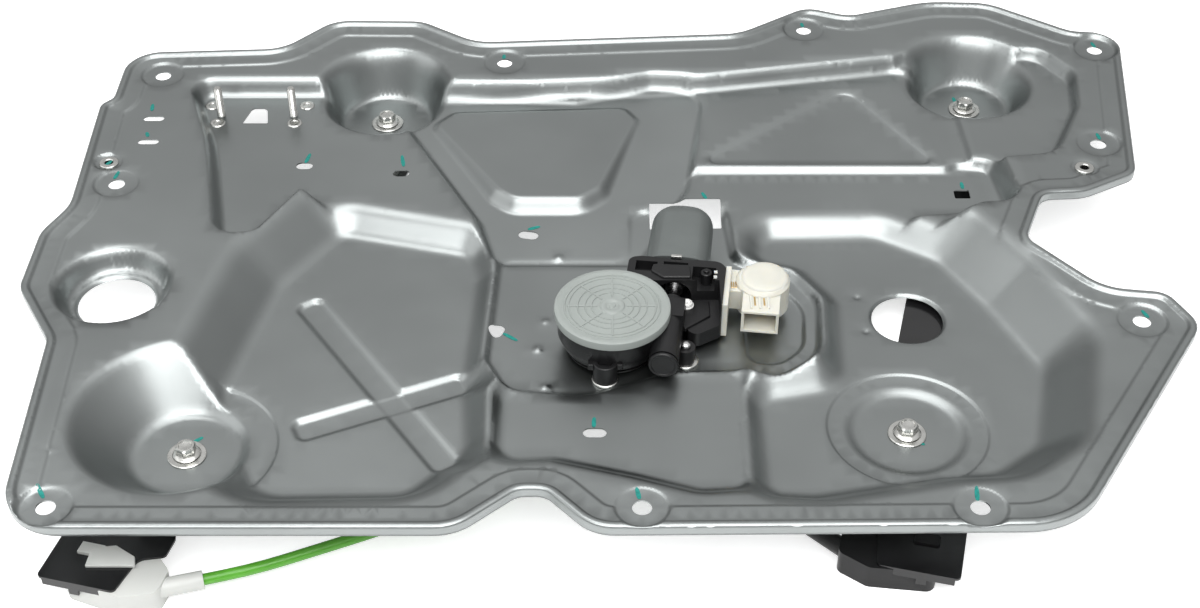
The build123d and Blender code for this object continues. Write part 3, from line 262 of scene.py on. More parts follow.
steel = finish("galvanised_sheet", (0.27, 0.286, 0.284), 0.34, 1.0, (7.0, 0.9, 1.08), 0.14, (1500.0, 0.02))
rail_black = finish("black_rail_coat", (0.008, 0.008, 0.0085), 0.2, clouds=(60.0, 0.8, 1.2),
                    fine=(1200.0, 0.04))
bracket_steel = finish("galvanised_bracket", (0.4, 0.41, 0.41), 0.34, 1.0, fine=(1500.0, 0.02))
zinc = finish("zinc_plating", (0.52, 0.52, 0.5), 0.26, 1.0, (120.0, 0.85, 1.1), fine=(2500.0, 0.03))
can_steel = finish("motor_can_plating", (0.225, 0.245, 0.24), 0.36, 0.9, (30.0, 0.92, 1.06),
                   fine=(1800.0, 0.03))
cable_steel = finish("greased_cable", (0.35, 0.34, 0.31), 0.3, 1.0, (300.0, 0.7, 1.2))
shaft_steel = finish("turned_steel", (0.5, 0.5, 0.5), 0.28, 1.0, (90.0, 0.85, 1.1))
magnet_black = finish("ferrite", (0.05, 0.05, 0.052), 0.6, 0.2)
screw_zinc = finish("bright_screw_plating", (0.86, 0.86, 0.84), 0.42, 0.25, fine=(2500.0, 0.03))
brass = finish("brass", (0.65, 0.45, 0.18), 0.3, 1.0, (200.0, 0.85, 1.1))
black = finish("black_moulding", (0.009, 0.009, 0.0095), 0.34, 0.0, (40.0, 0.8, 1.3), 0.2, (1400.0, 0.12))
cover_grey = finish("grey_moulding", (0.29, 0.315, 0.3), 0.36, clouds=(25.0, 0.95, 1.04), fine=(1600.0, 0.06))
white_moulding = finish("natural_acetal", (0.6, 0.61, 0.585), 0.42, clouds=(25.0, 0.95, 1.03))
gear_white = finish("gear_acetal", (0.7, 0.69, 0.62), 0.4, clouds=(25.0, 0.95, 1.03))
pulley_grey = finish("pulley_moulding", (0.08, 0.08, 0.08), 0.45)
nylon = finish("natural_nylon", (0.64, 0.63, 0.565), 0.4, clouds=(60.0, 0.95, 1.04), fine=(1500.0, 0.05))
rubber = finish("rubber", (0.02, 0.02, 0.02), 0.75, fine=(1200.0, 0.15))
green = finish("green_sleeve", (0.09, 0.36, 0.022), 0.34, clouds=(50.0, 0.85, 1.15), fine=(1500.0, 0.04))
dark_sleeve = finish("dark_sleeve", (0.015, 0.015, 0.016), 0.42, fine=(1500.0, 0.05))
marker = finish("paint_pen", (0.0, 0.2, 0.17), 0.5, clouds=(400.0, 0.75, 1.2))
set_inputs(black.node_tree.nodes["Principled BSDF"], Specular_IOR_Level=0.3)
nylon_shader = nylon.node_tree.nodes["Principled BSDF"]
set_inputs(nylon_shader, Subsurface_Weight=0.6, Subsurface_Radius=(1.0, 0.85, 0.6), Subsurface_Scale=0.004)
print("finishes", len(bpy.data.materials))

# %% [markdown]
# The carrier plate is one pressed sheet, about a millimetre thick, and everything else hangs on it.
# A die cannot press a sharp corner, so each wall starts and ends in a soft radius, and those radii
# carry the bright lines seen on it. Such a sheet is a height above a plan. Each pressed area is an
# outline with a floor, and its wall is a ramp in the distance from that outline. A smooth minimum
# joins the ramps, and its strength in millimetres is the roundness of the edge.

# %% Describe the pressed areas in plan, in millimetres
outline = [
    (-383, 474, 26), (-383, 412, 10), (-391, 403, 10), (-386, 280, 40), (-399, 250, 30),
    (-399, 192, 22), (-369, 141, 22), (-361, -19, 36), (-105, -19, 32), (-71, 11, 12),
    (-55, 11, 12), (-28, -19, 28), (245, -16, 55), (355, 155, 18), (341, 187, 14),
    (302, 192, 34), (261, 244, 12), (281, 294, 12), (311, 296, 30), (351, 318, 15),
    (379, 503, 22), (343, 505, 24), (284, 548, 40), (236, 550, 80), (172, 528, 24),
    (139, 541, 20), (84, 502, 44), (-119, 489, 40), (-163, 520, 24), (-232, 521, 28),
    (-268, 480, 32),
]
deck = [
    (-326, 438, 9), (-221, 438, 9), (-130, 431, 12), (56, 444, 14), (200, 470, 14),
    (238, 460, 12), (244, 300, 14), (60, 190, 14), (-90, 190, 14), (-234, 316, 9),
    (-262, 262, 10), (-280, 262, 10), (-297, 345, 14), (-303, 370, 14),
]
right_deck = [
    (196, 474, 14), (312, 484, 18), (332, 452, 14), (326, 410, 26), (300, 352, 22), (225, 342, 12),
]
step = [
    (34, 346, 16), (226, 346, 10), (232, 351, 8), (255, 349, 8), (260, 300, 8),
    (196, 294, 16), (150, 250, 20), (34, 250, 16),
]
middle = [
    (-158, 398, 8), (-104, 292, 14), (-94, 252, 10), (0, 252, 10), (34, 330, 14), (46, 438, 12),
    (16, 440, 10), (-40, 424, 14), (-146, 428, 10),
]
motor_bay = [
    (-91, 256, 8), (-4, 256, 12), (-2, 308, 10), (62, 308, 10), (66, 250, 16), (104, 238, 22),
    (120, 208, 28), (116, 156, 28), (88, 134, 22), (66, 142, 14), (20, 140, 30), (-34, 118, 30),
    (-82, 124, 16), (-95, 150, 14),
]
left_basin = [
    (-204, 288, 12), (-112, 264, 14), (-106, 236, 12), (-110, 130, 14), (-106, 72, 14),
    (-138, 36, 20), (-228, 34, 24), (-262, 120, 40), (-240, 230, 30),
]
right_basin = [
    (88, 284, 12), (168, 286, 22), (208, 260, 24), (234, 212, 26), (260, 150, 18), (242, 76, 20),
    (214, 54, 20), (180, 52, 20), (104, 36, 24), (76, 38, 10), (76, 120, 12), (130, 132, 20),
    (134, 214, 20), (112, 250, 18), (84, 258, 10),
]
front = [
    (-84, 120, 14), (-84, 58, 12), (-50, 60, 20), (0, 46, 20), (36, 34, 14), (62, 36, 8),
    (66, 142, 12), (-20, 130, 30),
]
panel = [
    (-146, 402, 8), (-132, 418, 8), (-6, 424, 8), (3, 409, 8), (-24, 324, 10), (-38, 312, 16),
    (-84, 312, 16), (-96, 322, 14),
]
triangle = [(45, 353, 6), (163, 450, 12), (218, 353, 6)]
connector_pan = [
    (72, 226, 12), (96, 227, 18), (110, 204, 26), (107, 166, 24), (90, 149, 16), (72, 154, 8),
]
drain = [(-289, 403, 1), (-284, 423, 4), (-273, 423, 4), (-270, 403, 1)]
mount_holes = [
    (-337.5, 0.0), (0.0, 0.0), (191.5, 0.0), (-353.5, 447.0), (-96.5, 465.0), (135.5, 512.0),
    (357.0, 483.0), (333.5, 357.5), (-360.5, 309.0), (320.0, 162.0),
]
insert_seats = [(-371.0, 334.0), (317.5, 328.0)]
left_hole = (-340.5, 199.0)
right_hole = (179.5, 200.5)
discs = [(-275.97, 77.07), (-185.63, 434.93), (166.03, 95.57), (256.37, 453.43)]
print("areas ready")

# %% [markdown]
# Every corner of an outline becomes an arc in a loop of points. Two questions are asked of a loop:
# where it runs when it is shifted outwards, and how far any point lies from it, negative inside.

# %% Turn outlines into loops of points and measure distance to them
ARC_STEP = 0.22  # largest turn between two points of an arc, in radians
FAR = 1e9


def unit(vector):
    return vector / np.linalg.norm(vector)


def rounded_loop(corners, spacing=4.0):
    points = []
    for i, (x, y, radius) in enumerate(corners):
        corner = np.array((x, y), float)
        back = unit(np.array(corners[i - 1][:2], float) - corner)
        ahead = unit(np.array(corners[(i + 1) % len(corners)][:2], float) - corner)
        turn = math.pi - math.acos(float(np.clip(back @ ahead, -1, 1)))
        first = corner + back * radius * math.tan(turn / 2)
        centre = corner + unit(back + ahead) * radius / math.cos(turn / 2)
        arm = first - centre
        sign = 1.0 if back[0] * ahead[1] - back[1] * ahead[0] < 0 else -1.0
        steps = max(2, math.ceil(turn / ARC_STEP), math.ceil(turn * radius / spacing))
        for k in range(steps + 1):
            angle = sign * turn * k / steps
            c, s = math.cos(angle), math.sin(angle)
            points.append(centre + np.array((arm[0] * c - arm[1] * s, arm[0] * s + arm[1] * c)))
    loop = []
    for i, point in enumerate(points):
        following = points[(i + 1) % len(points)]
        pieces = max(1, math.ceil(np.linalg.norm(following - point) / spacing))
        loop += [point + (following - point) * k / pieces for k in range(pieces)]
    return np.array(loop)


def shifted(corners, distance):
    points = [np.array(c[:2], float) for c in corners]
    doubled_area = sum(a[0] * b[1] - b[0] * a[1] for a, b in zip([points[-1]] + points, points))
    sense = 1.0 if doubled_area > 0 else -1.0
    moved = []
    for i, (x, y, radius) in enumerate(corners):
        before = unit(points[i] - points[i - 1])
        after = unit(points[(i + 1) % len(points)] - points[i])
        first = np.array((before[1], -before[0])) * sense
        second = np.array((after[1], -after[0])) * sense
        shift = (first + second) * distance / (1 + first @ second)
        convex = sense * (before[0] * after[1] - before[1] * after[0]) > 0
        radius += distance if convex else -distance
        moved.append((x + shift[0], y + shift[1], max(radius, 0.6)))
    return moved


def circle_loop(x, y, radius, count=40):
    angles = np.linspace(0, 2 * math.pi, count, endpoint=False)
    return np.stack((x + radius * np.cos(angles), y + radius * np.sin(angles)), 1)


def distance_outside(points, loop):
    best = np.full(len(points), FAR)
    inside = np.zeros(len(points), bool)
    for a, b in zip(loop, np.roll(loop, -1, 0)):
        run = b - a
        length = run @ run
        if length < 1e-9:
            continue
        share = np.clip(((points - a) @ run) / length, 0, 1)
        best = np.minimum(best, ((points - a - share[:, None] * run) ** 2).sum(1))
        crosses = (a[1] > points[:, 1]) != (b[1] > points[:, 1])
        if abs(run[1]) > 1e-12:
            inside ^= crosses & (points[:, 0] < a[0] + (points[:, 1] - a[1]) * run[0] / run[1])
    return np.where(inside, -1.0, 1.0) * np.sqrt(best)


print("outline points", len(rounded_loop(outline)))

# %% [markdown]
# A pressing's growth is how far its wall runs in plan while it climbs a millimetre. Its edge and
# foot say how softly the wall ends and begins. The raised panel, the lips and the bumps come last.

# %% Describe each pressing by its floor, wall and roundness
STEEP, GENTLE = 0.45, 1.0
RIM_Z = 4.5
ROLL, ROLL_DROP = 2.2, 1.1  # how the rim rolls over at the outline
BEAD_INSET, BEAD_WIDTH, BEAD_DROP = 17.0, 2.6, 1.3
PLATEAU_SLOPE, PLATEAU_DROP, PLATEAU_REACH = 2.5, 1.4, 3.5
TILT_START = 5.0  # how far below a tilted floor its wall begins
PANEL_Z, PANEL_GROWTH, PANEL_ROUND = -13.5, 0.8, 3.0
LIP_WIDTH, LIP_DROP = 3.0, 2.4
access_holes = [(*left_hole, 25.0), (*right_hole, 23.5)]


def smooth_min(a, b, k):
    return np.minimum(a, b) - np.maximum(k - np.abs(a - b), 0) ** 2 / (4 * k)


def smooth_max(a, b, k):
    return -smooth_min(-a, -b, k)


def ease(share):
    share = np.clip(share, 0, 1)
    return share ** 2 * (3 - 2 * share)


def pressing(floor, growth, edge, foot, tilt=0.0, reference=0.0, **form):
    form.update(floor=floor, growth=growth, edge=edge, foot=foot, tilt=tilt, y=reference)
    return form


def area(corners, *values):
    return pressing(*values, corners=corners, loop=rounded_loop(corners, 6.0))


def dish(x, y, radius, *values):
    return pressing(*values, round=(x, y, radius))


def rib(start, end, width):
    start, end = np.array(start), np.array(end)
    side = unit(np.array((start[1] - end[1], end[0] - start[0]))) * width / 2
    return [(*place, width * 0.3) for place in (start - side, end - side, end + side, start + side)]


pressings = [
    area(shifted(outline, -6.0), 2.0, 0.7, 1.2, 1.2),
    area(deck, -13.0, STEEP, 6.0, 6.0),
    area(right_deck, -9.0, STEEP, 5.0, 5.0),
    area(step, -18.0, STEEP, 5.0, 5.0),
    area(middle, -24.5, STEEP, 6.0, 6.0, math.tan(math.radians(4.0)), 284.0),
    area(motor_bay, -25.0, STEEP, 6.0, 6.0),
    area(left_basin, -29.0, GENTLE, 7.0, 5.0),
    area(right_basin, -30.0, GENTLE, 7.0, 5.0),
    area(front, -22.0, GENTLE, 5.0, 4.0),
    area(triangle, -15.0, STEEP, 3.0, 3.0),
]
details = [
    dish(*discs[0], 34.0, -35.0, 0.9, 4.0, 4.0),
    dish(*discs[1], 34.0, -35.0, 0.4, 12.0, 5.0),
    dish(*discs[2], 34.0, -35.0, 1.0, 3.0, 3.0),
    dish(*discs[3], 34.0, -35.0, 0.45, 12.0, 5.0),
    dish(*left_hole, 31.0, -14.0, STEEP, 6.0, 5.0),
    area(connector_pan, -27.0, 0.8, 2.0, 1.6),
]
details += [dish(*place, 15.0, 0.0, 0.8, 1.2, 1.2) for place in mount_holes]
details += [dish(*place, 9.0, 0.0, 0.8, 1.0, 1.0) for place in insert_seats]
for start, end in (((-218.0, 214.0), (-116.0, 62.0)), ((-210.0, 92.0), (-110.0, 136.0))):
    details.append(area(rib(start, end, 15.0), -31.6, 1.1, 1.6, 1.6))
plateaus = [(*discs[0], 57.0, -29.0), (*discs[2], 51.0, -30.0)]
bumps = [
    (-63.7, 163.0, 3.4, 1.6), (-58.4, 127.0, 3.4, 1.6), (-51.9, 259.0, 3.4, 1.6),
    (-59.2, 190.6, 3.0, 1.2), (-309.0, 211.0, 2.6, -1.2), (-308.8, 178.7, 2.6, -1.2),
    (148.5, 222.0, 2.6, -1.2), (150.6, 187.0, 2.6, -1.2),
]
outline_loop = rounded_loop(outline, 3.5)
panel_loop = rounded_loop(panel, 6.0)


def ramp(points, shape):
    if "round" in shape:
        x, y, radius = shape["round"]
        away = np.hypot(points[:, 0] - x, points[:, 1] - y) - radius
    else:
        away = distance_outside(points, shape["loop"])
    level = shape["floor"] + shape["tilt"] * (points[:, 1] - shape["y"])
    start = shape["floor"] - (TILT_START if shape["tilt"] else 0.0)
    return smooth_max(level, start + away / shape["growth"], shape["foot"])


def press(height, points, shape, keep):
    found = ramp(points, shape)
    if keep is not None:
        keep.append(found)
    return smooth_min(height, found, shape["edge"])


def press_height(points, keep=None):
    height = np.full(len(points), RIM_Z)
    edge = -distance_outside(points, outline_loop)
    height -= np.maximum(ROLL - edge, 0) ** 2 / ROLL ** 2 * ROLL_DROP
    for index, shape in enumerate(pressings):
        height = press(height, points, shape, keep)
        if index == 0:
            height -= BEAD_DROP * ease((edge - BEAD_INSET) / BEAD_WIDTH)
    for x, y, radius, floor_height in plateaus:
        inside = ease((radius - np.hypot(points[:, 0] - x, points[:, 1] - y)) / PLATEAU_SLOPE)
        near_floor = np.clip((floor_height + PLATEAU_REACH - height) / PLATEAU_SLOPE, 0, 1)
        height -= PLATEAU_DROP * inside * near_floor
    rise = PANEL_Z - distance_outside(points, panel_loop) / PANEL_GROWTH
    raised = smooth_min(np.full(len(points), PANEL_Z), rise, PANEL_ROUND)
    height = smooth_max(height, raised, PANEL_ROUND)
    for shape in details:
        height = press(height, points, shape, keep)
    for x, y, radius in access_holes:
        lip = np.hypot(points[:, 0] - x, points[:, 1] - y) - radius
        height -= np.maximum(LIP_WIDTH - lip, 0) ** 2 / LIP_WIDTH ** 2 * LIP_DROP
    for x, y, radius, rise in bumps:
        height += rise * np.exp(-((points[:, 0] - x) ** 2 + (points[:, 1] - y) ** 2) / radius ** 2)
    return height


print("pressings", len(pressings), "details", len(details))

# %% [markdown]
# A grid laid over the plan would draw every slanted wall as stairs. Rings of points that follow each
# outline at small steps draw the same wall cleanly with fewer faces, and a Delaunay triangulation
# joins any cloud of points. Rings are kept only where their own pressing shapes the sheet.

# %% Gather plan points along every wall
SHEET_TOP, BASIN_Z, LOW_WALL = 5.0, -29.5, 4.5
FINE_STRIDE, STEEP_STRIDE, GENTLE_STRIDE = 0.8, 1.5, 2.4
FINE_SPACING, BROAD_SPACING, GRID = 2.2, 3.6, 9.0
FINE_CELL, BROAD_CELL, SHARED_CELL = 0.7, 1.1, 1.5
holes = [circle_loop(*place, 5.75, 28) for place in mount_holes]
holes += [circle_loop(*place, 5.5, 24) for place in insert_seats]
holes += [circle_loop(*hole, 64) for hole in access_holes]
holes += [circle_loop(*place, 3.3, 20) for place in discs]
holes += [circle_loop(-16.0, 168.0, 17.0, 36), rounded_loop(drain, 4.0)]


def round_slot(x, y, length, width, turn):
    bow = np.linspace(-math.pi / 2, math.pi / 2, 9)
    arc = np.stack(((length - width) / 2 + width / 2 * np.cos(bow), width / 2 * np.sin(bow)), 1)
    ends = np.concatenate((arc, -arc))
    c, s = math.cos(math.radians(turn)), math.sin(math.radians(turn))
    return np.stack((x + ends[:, 0] * c - ends[:, 1] * s, y + ends[:, 0] * s + ends[:, 1] * c), 1)


def box_loop(x, y):
    return rounded_loop([(*corner, 1) for corner in rectangle(x, y)], 4.0)


holes += [round_slot(*values) for values in (
    (-349.5, 389.0, 15.0, 6.0, 0.0), (-348.0, 359.5, 15.0, 6.0, 0.0), (-236.0, 349.0, 12.0, 8.0, 0.0),
    (-166.0, 340.0, 12.0, 8.0, 0.0), (-73.5, 283.0, 14.0, 8.0, -10.0), (-91.0, 181.5, 13.0, 9.0, 70.0),
    (-27.0, 83.5, 14.5, 8.0, 0.0),
)]
holes += [box_loop((227.0, 238.0), (316.5, 326.5)), box_loop((11.0, 61.0), (291.0, 317.0))]


def is_fine(shape):
    return ("round" in shape and shape["round"][2] < 20) or shape["edge"] <= 2.2


def ring_points(shape):
    growth, floor_height, fine = shape["growth"], shape["floor"], is_fine(shape)
    spacing = FINE_SPACING if fine else BROAD_SPACING
    stop = (SHEET_TOP - floor_height) * growth + shape["edge"] * growth
    if floor_height < BASIN_Z and fine:
        stop = LOW_WALL * growth
    stride = FINE_STRIDE if fine else STEEP_STRIDE if growth <= STEEP else GENTLE_STRIDE
    rings = []
    for away in np.arange(-shape["foot"] * growth, stop + 0.1, stride):
        if "round" in shape:
            x, y, radius = shape["round"]
            count = max(24, int(2 * math.pi * (radius + away) / spacing))
            rings.append(circle_loop(x, y, radius + away, count))
        else:
            rings.append(rounded_loop(shifted(shape["corners"], away), spacing))
    return np.concatenate(rings)


def active_points(fine):
    found = []
    for index, shape in enumerate(pressings + details):
        if is_fine(shape) == fine:
            points = ring_points(shape)
            own = []
            height = press_height(points, own)
            found.append(points[own[index] < height + shape["edge"] + 0.5])
    return np.concatenate(found)


def inset_line(distance):
    run = np.roll(outline_loop, -1, 0) - np.roll(outline_loop, 1, 0)
    inward = np.column_stack((-run[:, 1], run[:, 0])) / np.linalg.norm(run, axis=1)[:, None]
    line = outline_loop + inward * distance
    return line[-distance_outside(line, outline_loop) > distance - 0.15]


def cells(points, size):
    return np.round(points / size).astype(int)


def thin(points, size):
    return points[np.sort(np.unique(cells(points, size), axis=0, return_index=True)[1])]


grid = np.stack(np.meshgrid(np.arange(-400, 385, GRID), np.arange(-18, 552, GRID)), -1).reshape(-1, 2)
lines = [rounded_loop(shifted(panel, away), 2.6) for away in np.arange(-3.0, 11.1, 1.0)]
lines += [circle_loop(x, y, radius + away, 64) for x, y, radius in access_holes for away in (1.0, 2.0, 3.0)]
lines += [rounded_loop(shifted(outline, -away), 3.5) for away in (0.7, 1.4, 2.2, 4.0)]
lines += [inset_line(BEAD_INSET + away) for away in (-0.8, 0.2, 1.3, 2.4, 3.4)]
for x, y, radius, _ in plateaus:
    lines += [circle_loop(x, y, radius + away, 110) for away in (-2.6, -1.7, -0.8, 0.2)]
for x, y, radius, _ in bumps:
    lines += [circle_loop(x, y, radius * share, 12) for share in (0.01, 0.35, 0.7, 1.1, 1.6)]
fine_points = thin(np.concatenate([active_points(True)] + lines), FINE_CELL)
broad_points = thin(np.concatenate([active_points(False), grid]), BROAD_CELL)
taken = {tuple(cell) for cell in cells(fine_points, SHARED_CELL)}
free = np.array([tuple(cell) not in taken for cell in cells(broad_points, SHARED_CELL)])
cloud_points = np.concatenate((fine_points, broad_points[free]))
print("plan points", len(fine_points), "fine and", len(cloud_points), "in all")

# %% [markdown]
# The outline and the holes are fixed edges, and faces inside a hole are dropped. The outer border is
# extruded down three times, and a modifier gives the sheet its thickness.

# %% Triangulate the sheet, punch its holes and turn the rim down
ON_OUTLINE, EDGE_CLEARANCE, HOLE_CLEARANCE = 0.3, 0.4, 0.5
SHEET_THICKNESS = 1.0
RIM_LEVELS = (1.0, -1.0, -3.0)


def distance_to_hole(points, hole):
    near = np.abs(points - hole.mean(0)).max(1) < np.ptp(hole, 0).max()
    distance = np.full(len(points), FAR)
    distance[near] = distance_outside(points[near], hole)
    return distance


cloud_points = cloud_points[distance_outside(cloud_points, outline_loop) < -EDGE_CLEARANCE]
for hole in holes:
    cloud_points = cloud_points[distance_to_hole(cloud_points, hole) > HOLE_CLEARANCE]
fixed = [outline_loop] + holes
edges, start = [], 0
for loop in fixed:
    edges += [(start + i, start + (i + 1) % len(loop)) for i in range(len(loop))]
    start += len(loop)
everything = np.concatenate(fixed + [cloud_points])
result = delaunay_2d_cdt([Vector(p) for p in everything], edges, [], 0, 1e-5)
plan = np.array([tuple(v) for v in result[0]])
faces = np.array([f for f in result[2] if len(f) == 3])
centres = plan[faces].mean(1)
kept = distance_outside(centres, outline_loop) < 0
for hole in holes:
    kept &= distance_to_hole(centres, hole) > 0
faces = faces[kept]
print("triangles", len(faces))


def mesh_object(name, vertices, faces, material):
    mesh = bpy.data.meshes.new(name)
    points = [tuple(float(c) * MM for c in v) for v in vertices]
    mesh.from_pydata(points, [], [tuple(int(i) for i in f) for f in faces])
    mesh.materials.append(material)
    mesh.shade_smooth()
    return add_object(name, mesh)


sheet = mesh_object("pressed_plate", np.column_stack((plan, press_height(plan))), faces, steel)
shape = bmesh.new()
shape.from_mesh(sheet.data)
bmesh.ops.delete(shape, geom=[v for v in shape.verts if not v.link_faces], context="VERTS")
bmesh.ops.recalc_face_normals(shape, faces=shape.faces)
if sum(f.normal.z for f in shape.faces) < 0:
    bmesh.ops.reverse_faces(shape, faces=shape.faces)
border = [e for e in shape.edges if e.is_boundary]
starts = np.array([(e.verts[0].co.x / MM, e.verts[0].co.y / MM) for e in border])
for edge, distance in zip(border, distance_outside(starts, outline_loop)):
    edge.smooth = abs(distance) < ON_OUTLINE
rim = [e for e in border if e.smooth]
for level in RIM_LEVELS:
    grown = bmesh.ops.extrude_edge_only(shape, edges=rim)["geom"]
    for vertex in [g for g in grown if isinstance(g, bmesh.types.BMVert)]:
        vertex.co.z = level * MM
    rim = [g for g in grown if isinstance(g, bmesh.types.BMEdge) and g.is_boundary]
shape.to_mesh(sheet.data)
shape.free()
sheet.data.shade_smooth()
thickness = sheet.modifiers.new("thickness", "SOLIDIFY")
thickness.thickness = SHEET_THICKNESS * MM
thickness.offset = -1.0
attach(sheet, "plate")
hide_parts("carrier_plate")
print("sheet faces", len(sheet.data.polygons))

# %% [markdown]
# Most small parts here are round or six-sided: bolts, rivets, studs, the gear cover and the motor
# can. All of them are a stack of rings with the same number of points, joined by strips of faces.
# The profile is then a short list of radii and heights, as a turner would read it.

# %% Make the ring stacker and a turned bolt
def circle(radius, z, count=48):
    return np.column_stack((circle_loop(0.0, 0.0, radius, count), np.full(count, z)))


def hexagon(across, z, count=48):
    angles = np.linspace(0, 2 * math.pi, count, endpoint=False)
    return circle(across / 2 / np.cos((angles + math.pi / 6) % (math.pi / 3) - math.pi / 6), z, count)


def stack(rings):
    count = len(rings[0])
    faces = []
    for level in range(len(rings) - 1):
        low, high = level * count, (level + 1) * count
        faces += [(low + i, low + (i + 1) % count, high + (i + 1) % count, high + i) for i in range(count)]
    faces.append(tuple(reversed(range(count))))
    faces.append(tuple(range((len(rings) - 1) * count, len(rings) * count)))
    return np.concatenate(rings), faces


def turned(profile, count=48):
    return stack([circle(radius, z, count) for radius, z in profile])


def prism(corners, levels):
    return stack([np.array([(*corner, z) for corner in corners]) for z in levels])


def crease(piece, degrees=32.0):
    piece.data.shade_smooth()
    piece.data.set_sharp_from_angle(angle=math.radians(degrees))
    return piece


def build(name, shape, material):
    return crease(mesh_object(name, *shape, material))


bolt = build("bolt_pattern_piece", stack([
    circle(3.0, -2.0), circle(3.0, 0.0), circle(8.2, 0.0), circle(8.2, 0.5), circle(7.2, 1.3),
    hexagon(10.8, 1.7), hexagon(11.2, 2.1), hexagon(11.2, 6.6), circle(5.3, 7.4), circle(4.3, 7.5),
    circle(3.8, 6.7), circle(0.8, 6.4),
]), zinc)
print("bolt faces", len(bolt.data.polygons))

# %% [markdown]
# The same bolt, rivet or rib sits in several places. A small Geometry Nodes group copies one piece
# to each vertex of a mesh that holds only places, and turns each copy a step further. The result is
# turned into plain mesh at once, so that it rides on its body like any other piece.

# %% Build the group that copies a piece to places
copies = bpy.data.node_groups.new("place_copies", "GeometryNodeTree")
for label, kind in (("Places", "Geometry"), ("Piece", "Object"), ("Turn", "Float"), ("Finish", "Material")):
    copies.interface.new_socket(name=label, in_out="INPUT", socket_type="NodeSocket" + kind)
copies.interface.new_socket(name="Copies", in_out="OUTPUT", socket_type="NodeSocketGeometry")
enter = copies.nodes.new("NodeGroupInput")
leave = copies.nodes.new("NodeGroupOutput")
source = copies.nodes.new("GeometryNodeObjectInfo")
number = copies.nodes.new("GeometryNodeInputIndex")
spin = copies.nodes.new("ShaderNodeCombineXYZ")
spread = copies.nodes.new("GeometryNodeInstanceOnPoints")
solid = copies.nodes.new("GeometryNodeRealizeInstances")
paint = copies.nodes.new("GeometryNodeSetMaterial")
angle = math_node(copies, "MULTIPLY", number.outputs[0], enter.outputs["Turn"])
for start, end in (
    (enter.outputs["Places"], spread.inputs["Points"]), (enter.outputs["Piece"], source.inputs["Object"]),
    (source.outputs["Geometry"], spread.inputs["Instance"]), (angle, spin.inputs["Z"]),
    (spin.outputs[0], spread.inputs["Rotation"]), (spread.outputs[0], solid.inputs[0]),
    (solid.outputs[0], paint.inputs["Geometry"]), (enter.outputs["Finish"], paint.inputs["Material"]),
    (paint.outputs[0], leave.inputs["Copies"]),
):
    copies.links.new(start, end)


def place_copies(name, piece, places, turn=0.0, node=None):
    material = piece.data.materials[0]
    holder = mesh_object(name, places, [], material)
    modifier = holder.modifiers.new("copies", "NODES")
    modifier.node_group = copies
    values = {"Piece": piece, "Turn": turn, "Finish": material}
    for socket in copies.interface.items_tree:
        if socket.name in values:
            modifier[socket.identifier] = values[socket.name]
    make_plain(holder, modifier)
    bpy.data.objects.remove(piece)
    dress(crease(holder), node)


def make_plain(piece, modifier):
    depsgraph = bpy.context.evaluated_depsgraph_get()
    plain = bpy.data.meshes.new_from_object(piece.evaluated_get(depsgraph))
    piece.modifiers.remove(modifier)
    piece.data = plain


def dress(piece, node=None, body="plate"):
    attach(piece, body)
    if node:
        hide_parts(node)
    print(piece.name, "faces", len(piece.data.polygons))


washer_bottom, washer_top = -35.0, -33.8
bolt_places = [(*disc, washer_top) for disc in discs]
place_copies("flange_bolts", bolt, bolt_places, 0.7, "rail_bolts")

# %% [markdown]
# The two studs at the upper left are threaded over their whole length. At this size a thread reads
# as a row of fine ridges, so each turn is one ridge of the profile. The rivets beside them are
# domed rings, and the two inserts are flanged nuts pressed into the sheet.

# %% Turn the studs, rivets, inserts and washers
deck_z = -13.0
thread_core, thread_crest, thread_turns = 2.62, 3.0, 22
thread = [(3.2, deck_z), (3.2, deck_z + 0.3)]
for k in range(thread_turns):
    thread += [(thread_core, deck_z + 1.2 + k), (thread_crest, deck_z + 1.7 + k)]
thread += [(thread_core, 10.2), (2.2, 10.95)]
stud = build("stud_piece", turned(thread, 28), zinc)
stud_places = [(-306.0, 414.0, 0.0), (-252.0, 414.0, 0.0)]
place_copies("threaded_studs", stud, stud_places, 0.4, "plate_studs")
rivet = build("rivet_piece", turned([
    (2.0, -2.0), (5.6, 0.0), (5.6, 0.3), (5.0, 0.9), (3.9, 1.1), (2.9, 0.9), (2.4, 0.2), (1.6, 0.1),
], 40), zinc)
rivet_seats = ((-314.5, 426.0), (-307.0, 403.0), (-243.5, 426.0), (-250.0, 403.0))
rivet_places = [(*seat, deck_z) for seat in rivet_seats]
place_copies("clinched_rivets", rivet, rivet_places, 0.0, "stud_rivets")
insert = build("insert_piece", turned([
    (5.5, -8.0), (5.5, 0.0), (6.8, 0.0), (6.8, 0.7), (6.3, 1.1), (3.6, 1.2), (3.0, 0.7), (2.9, -7.6),
    (3.4, -8.0),
], 40), zinc)
insert_places = [(*seat, 0.0) for seat in insert_seats]
place_copies("insert_flanges", insert, insert_places, 0.0, "insert_nuts")
washer = build("washer_piece", turned([
    (3.2, 0.0), (11.6, 0.0), (12.0, 0.3), (12.0, 0.8), (11.5, 1.2), (8.8, 1.2), (8.5, 0.9), (3.2, 0.9),
]), zinc)
washer_places = [(*disc, washer_bottom) for disc in discs]
place_copies("bolt_washers", washer, washer_places, 0.0, "rail_washers")

# %% [markdown]
# The grey cover over the gears is a thin moulding, stiffened by low rings and eight short ribs. Its
# rings are part of the turned profile. The ribs are one bar, copied round the middle.

# %% Mould the gear cover
wheel = (-16.0, 168.0)
face_z = 7.7
RIDGE_HALF = 0.6


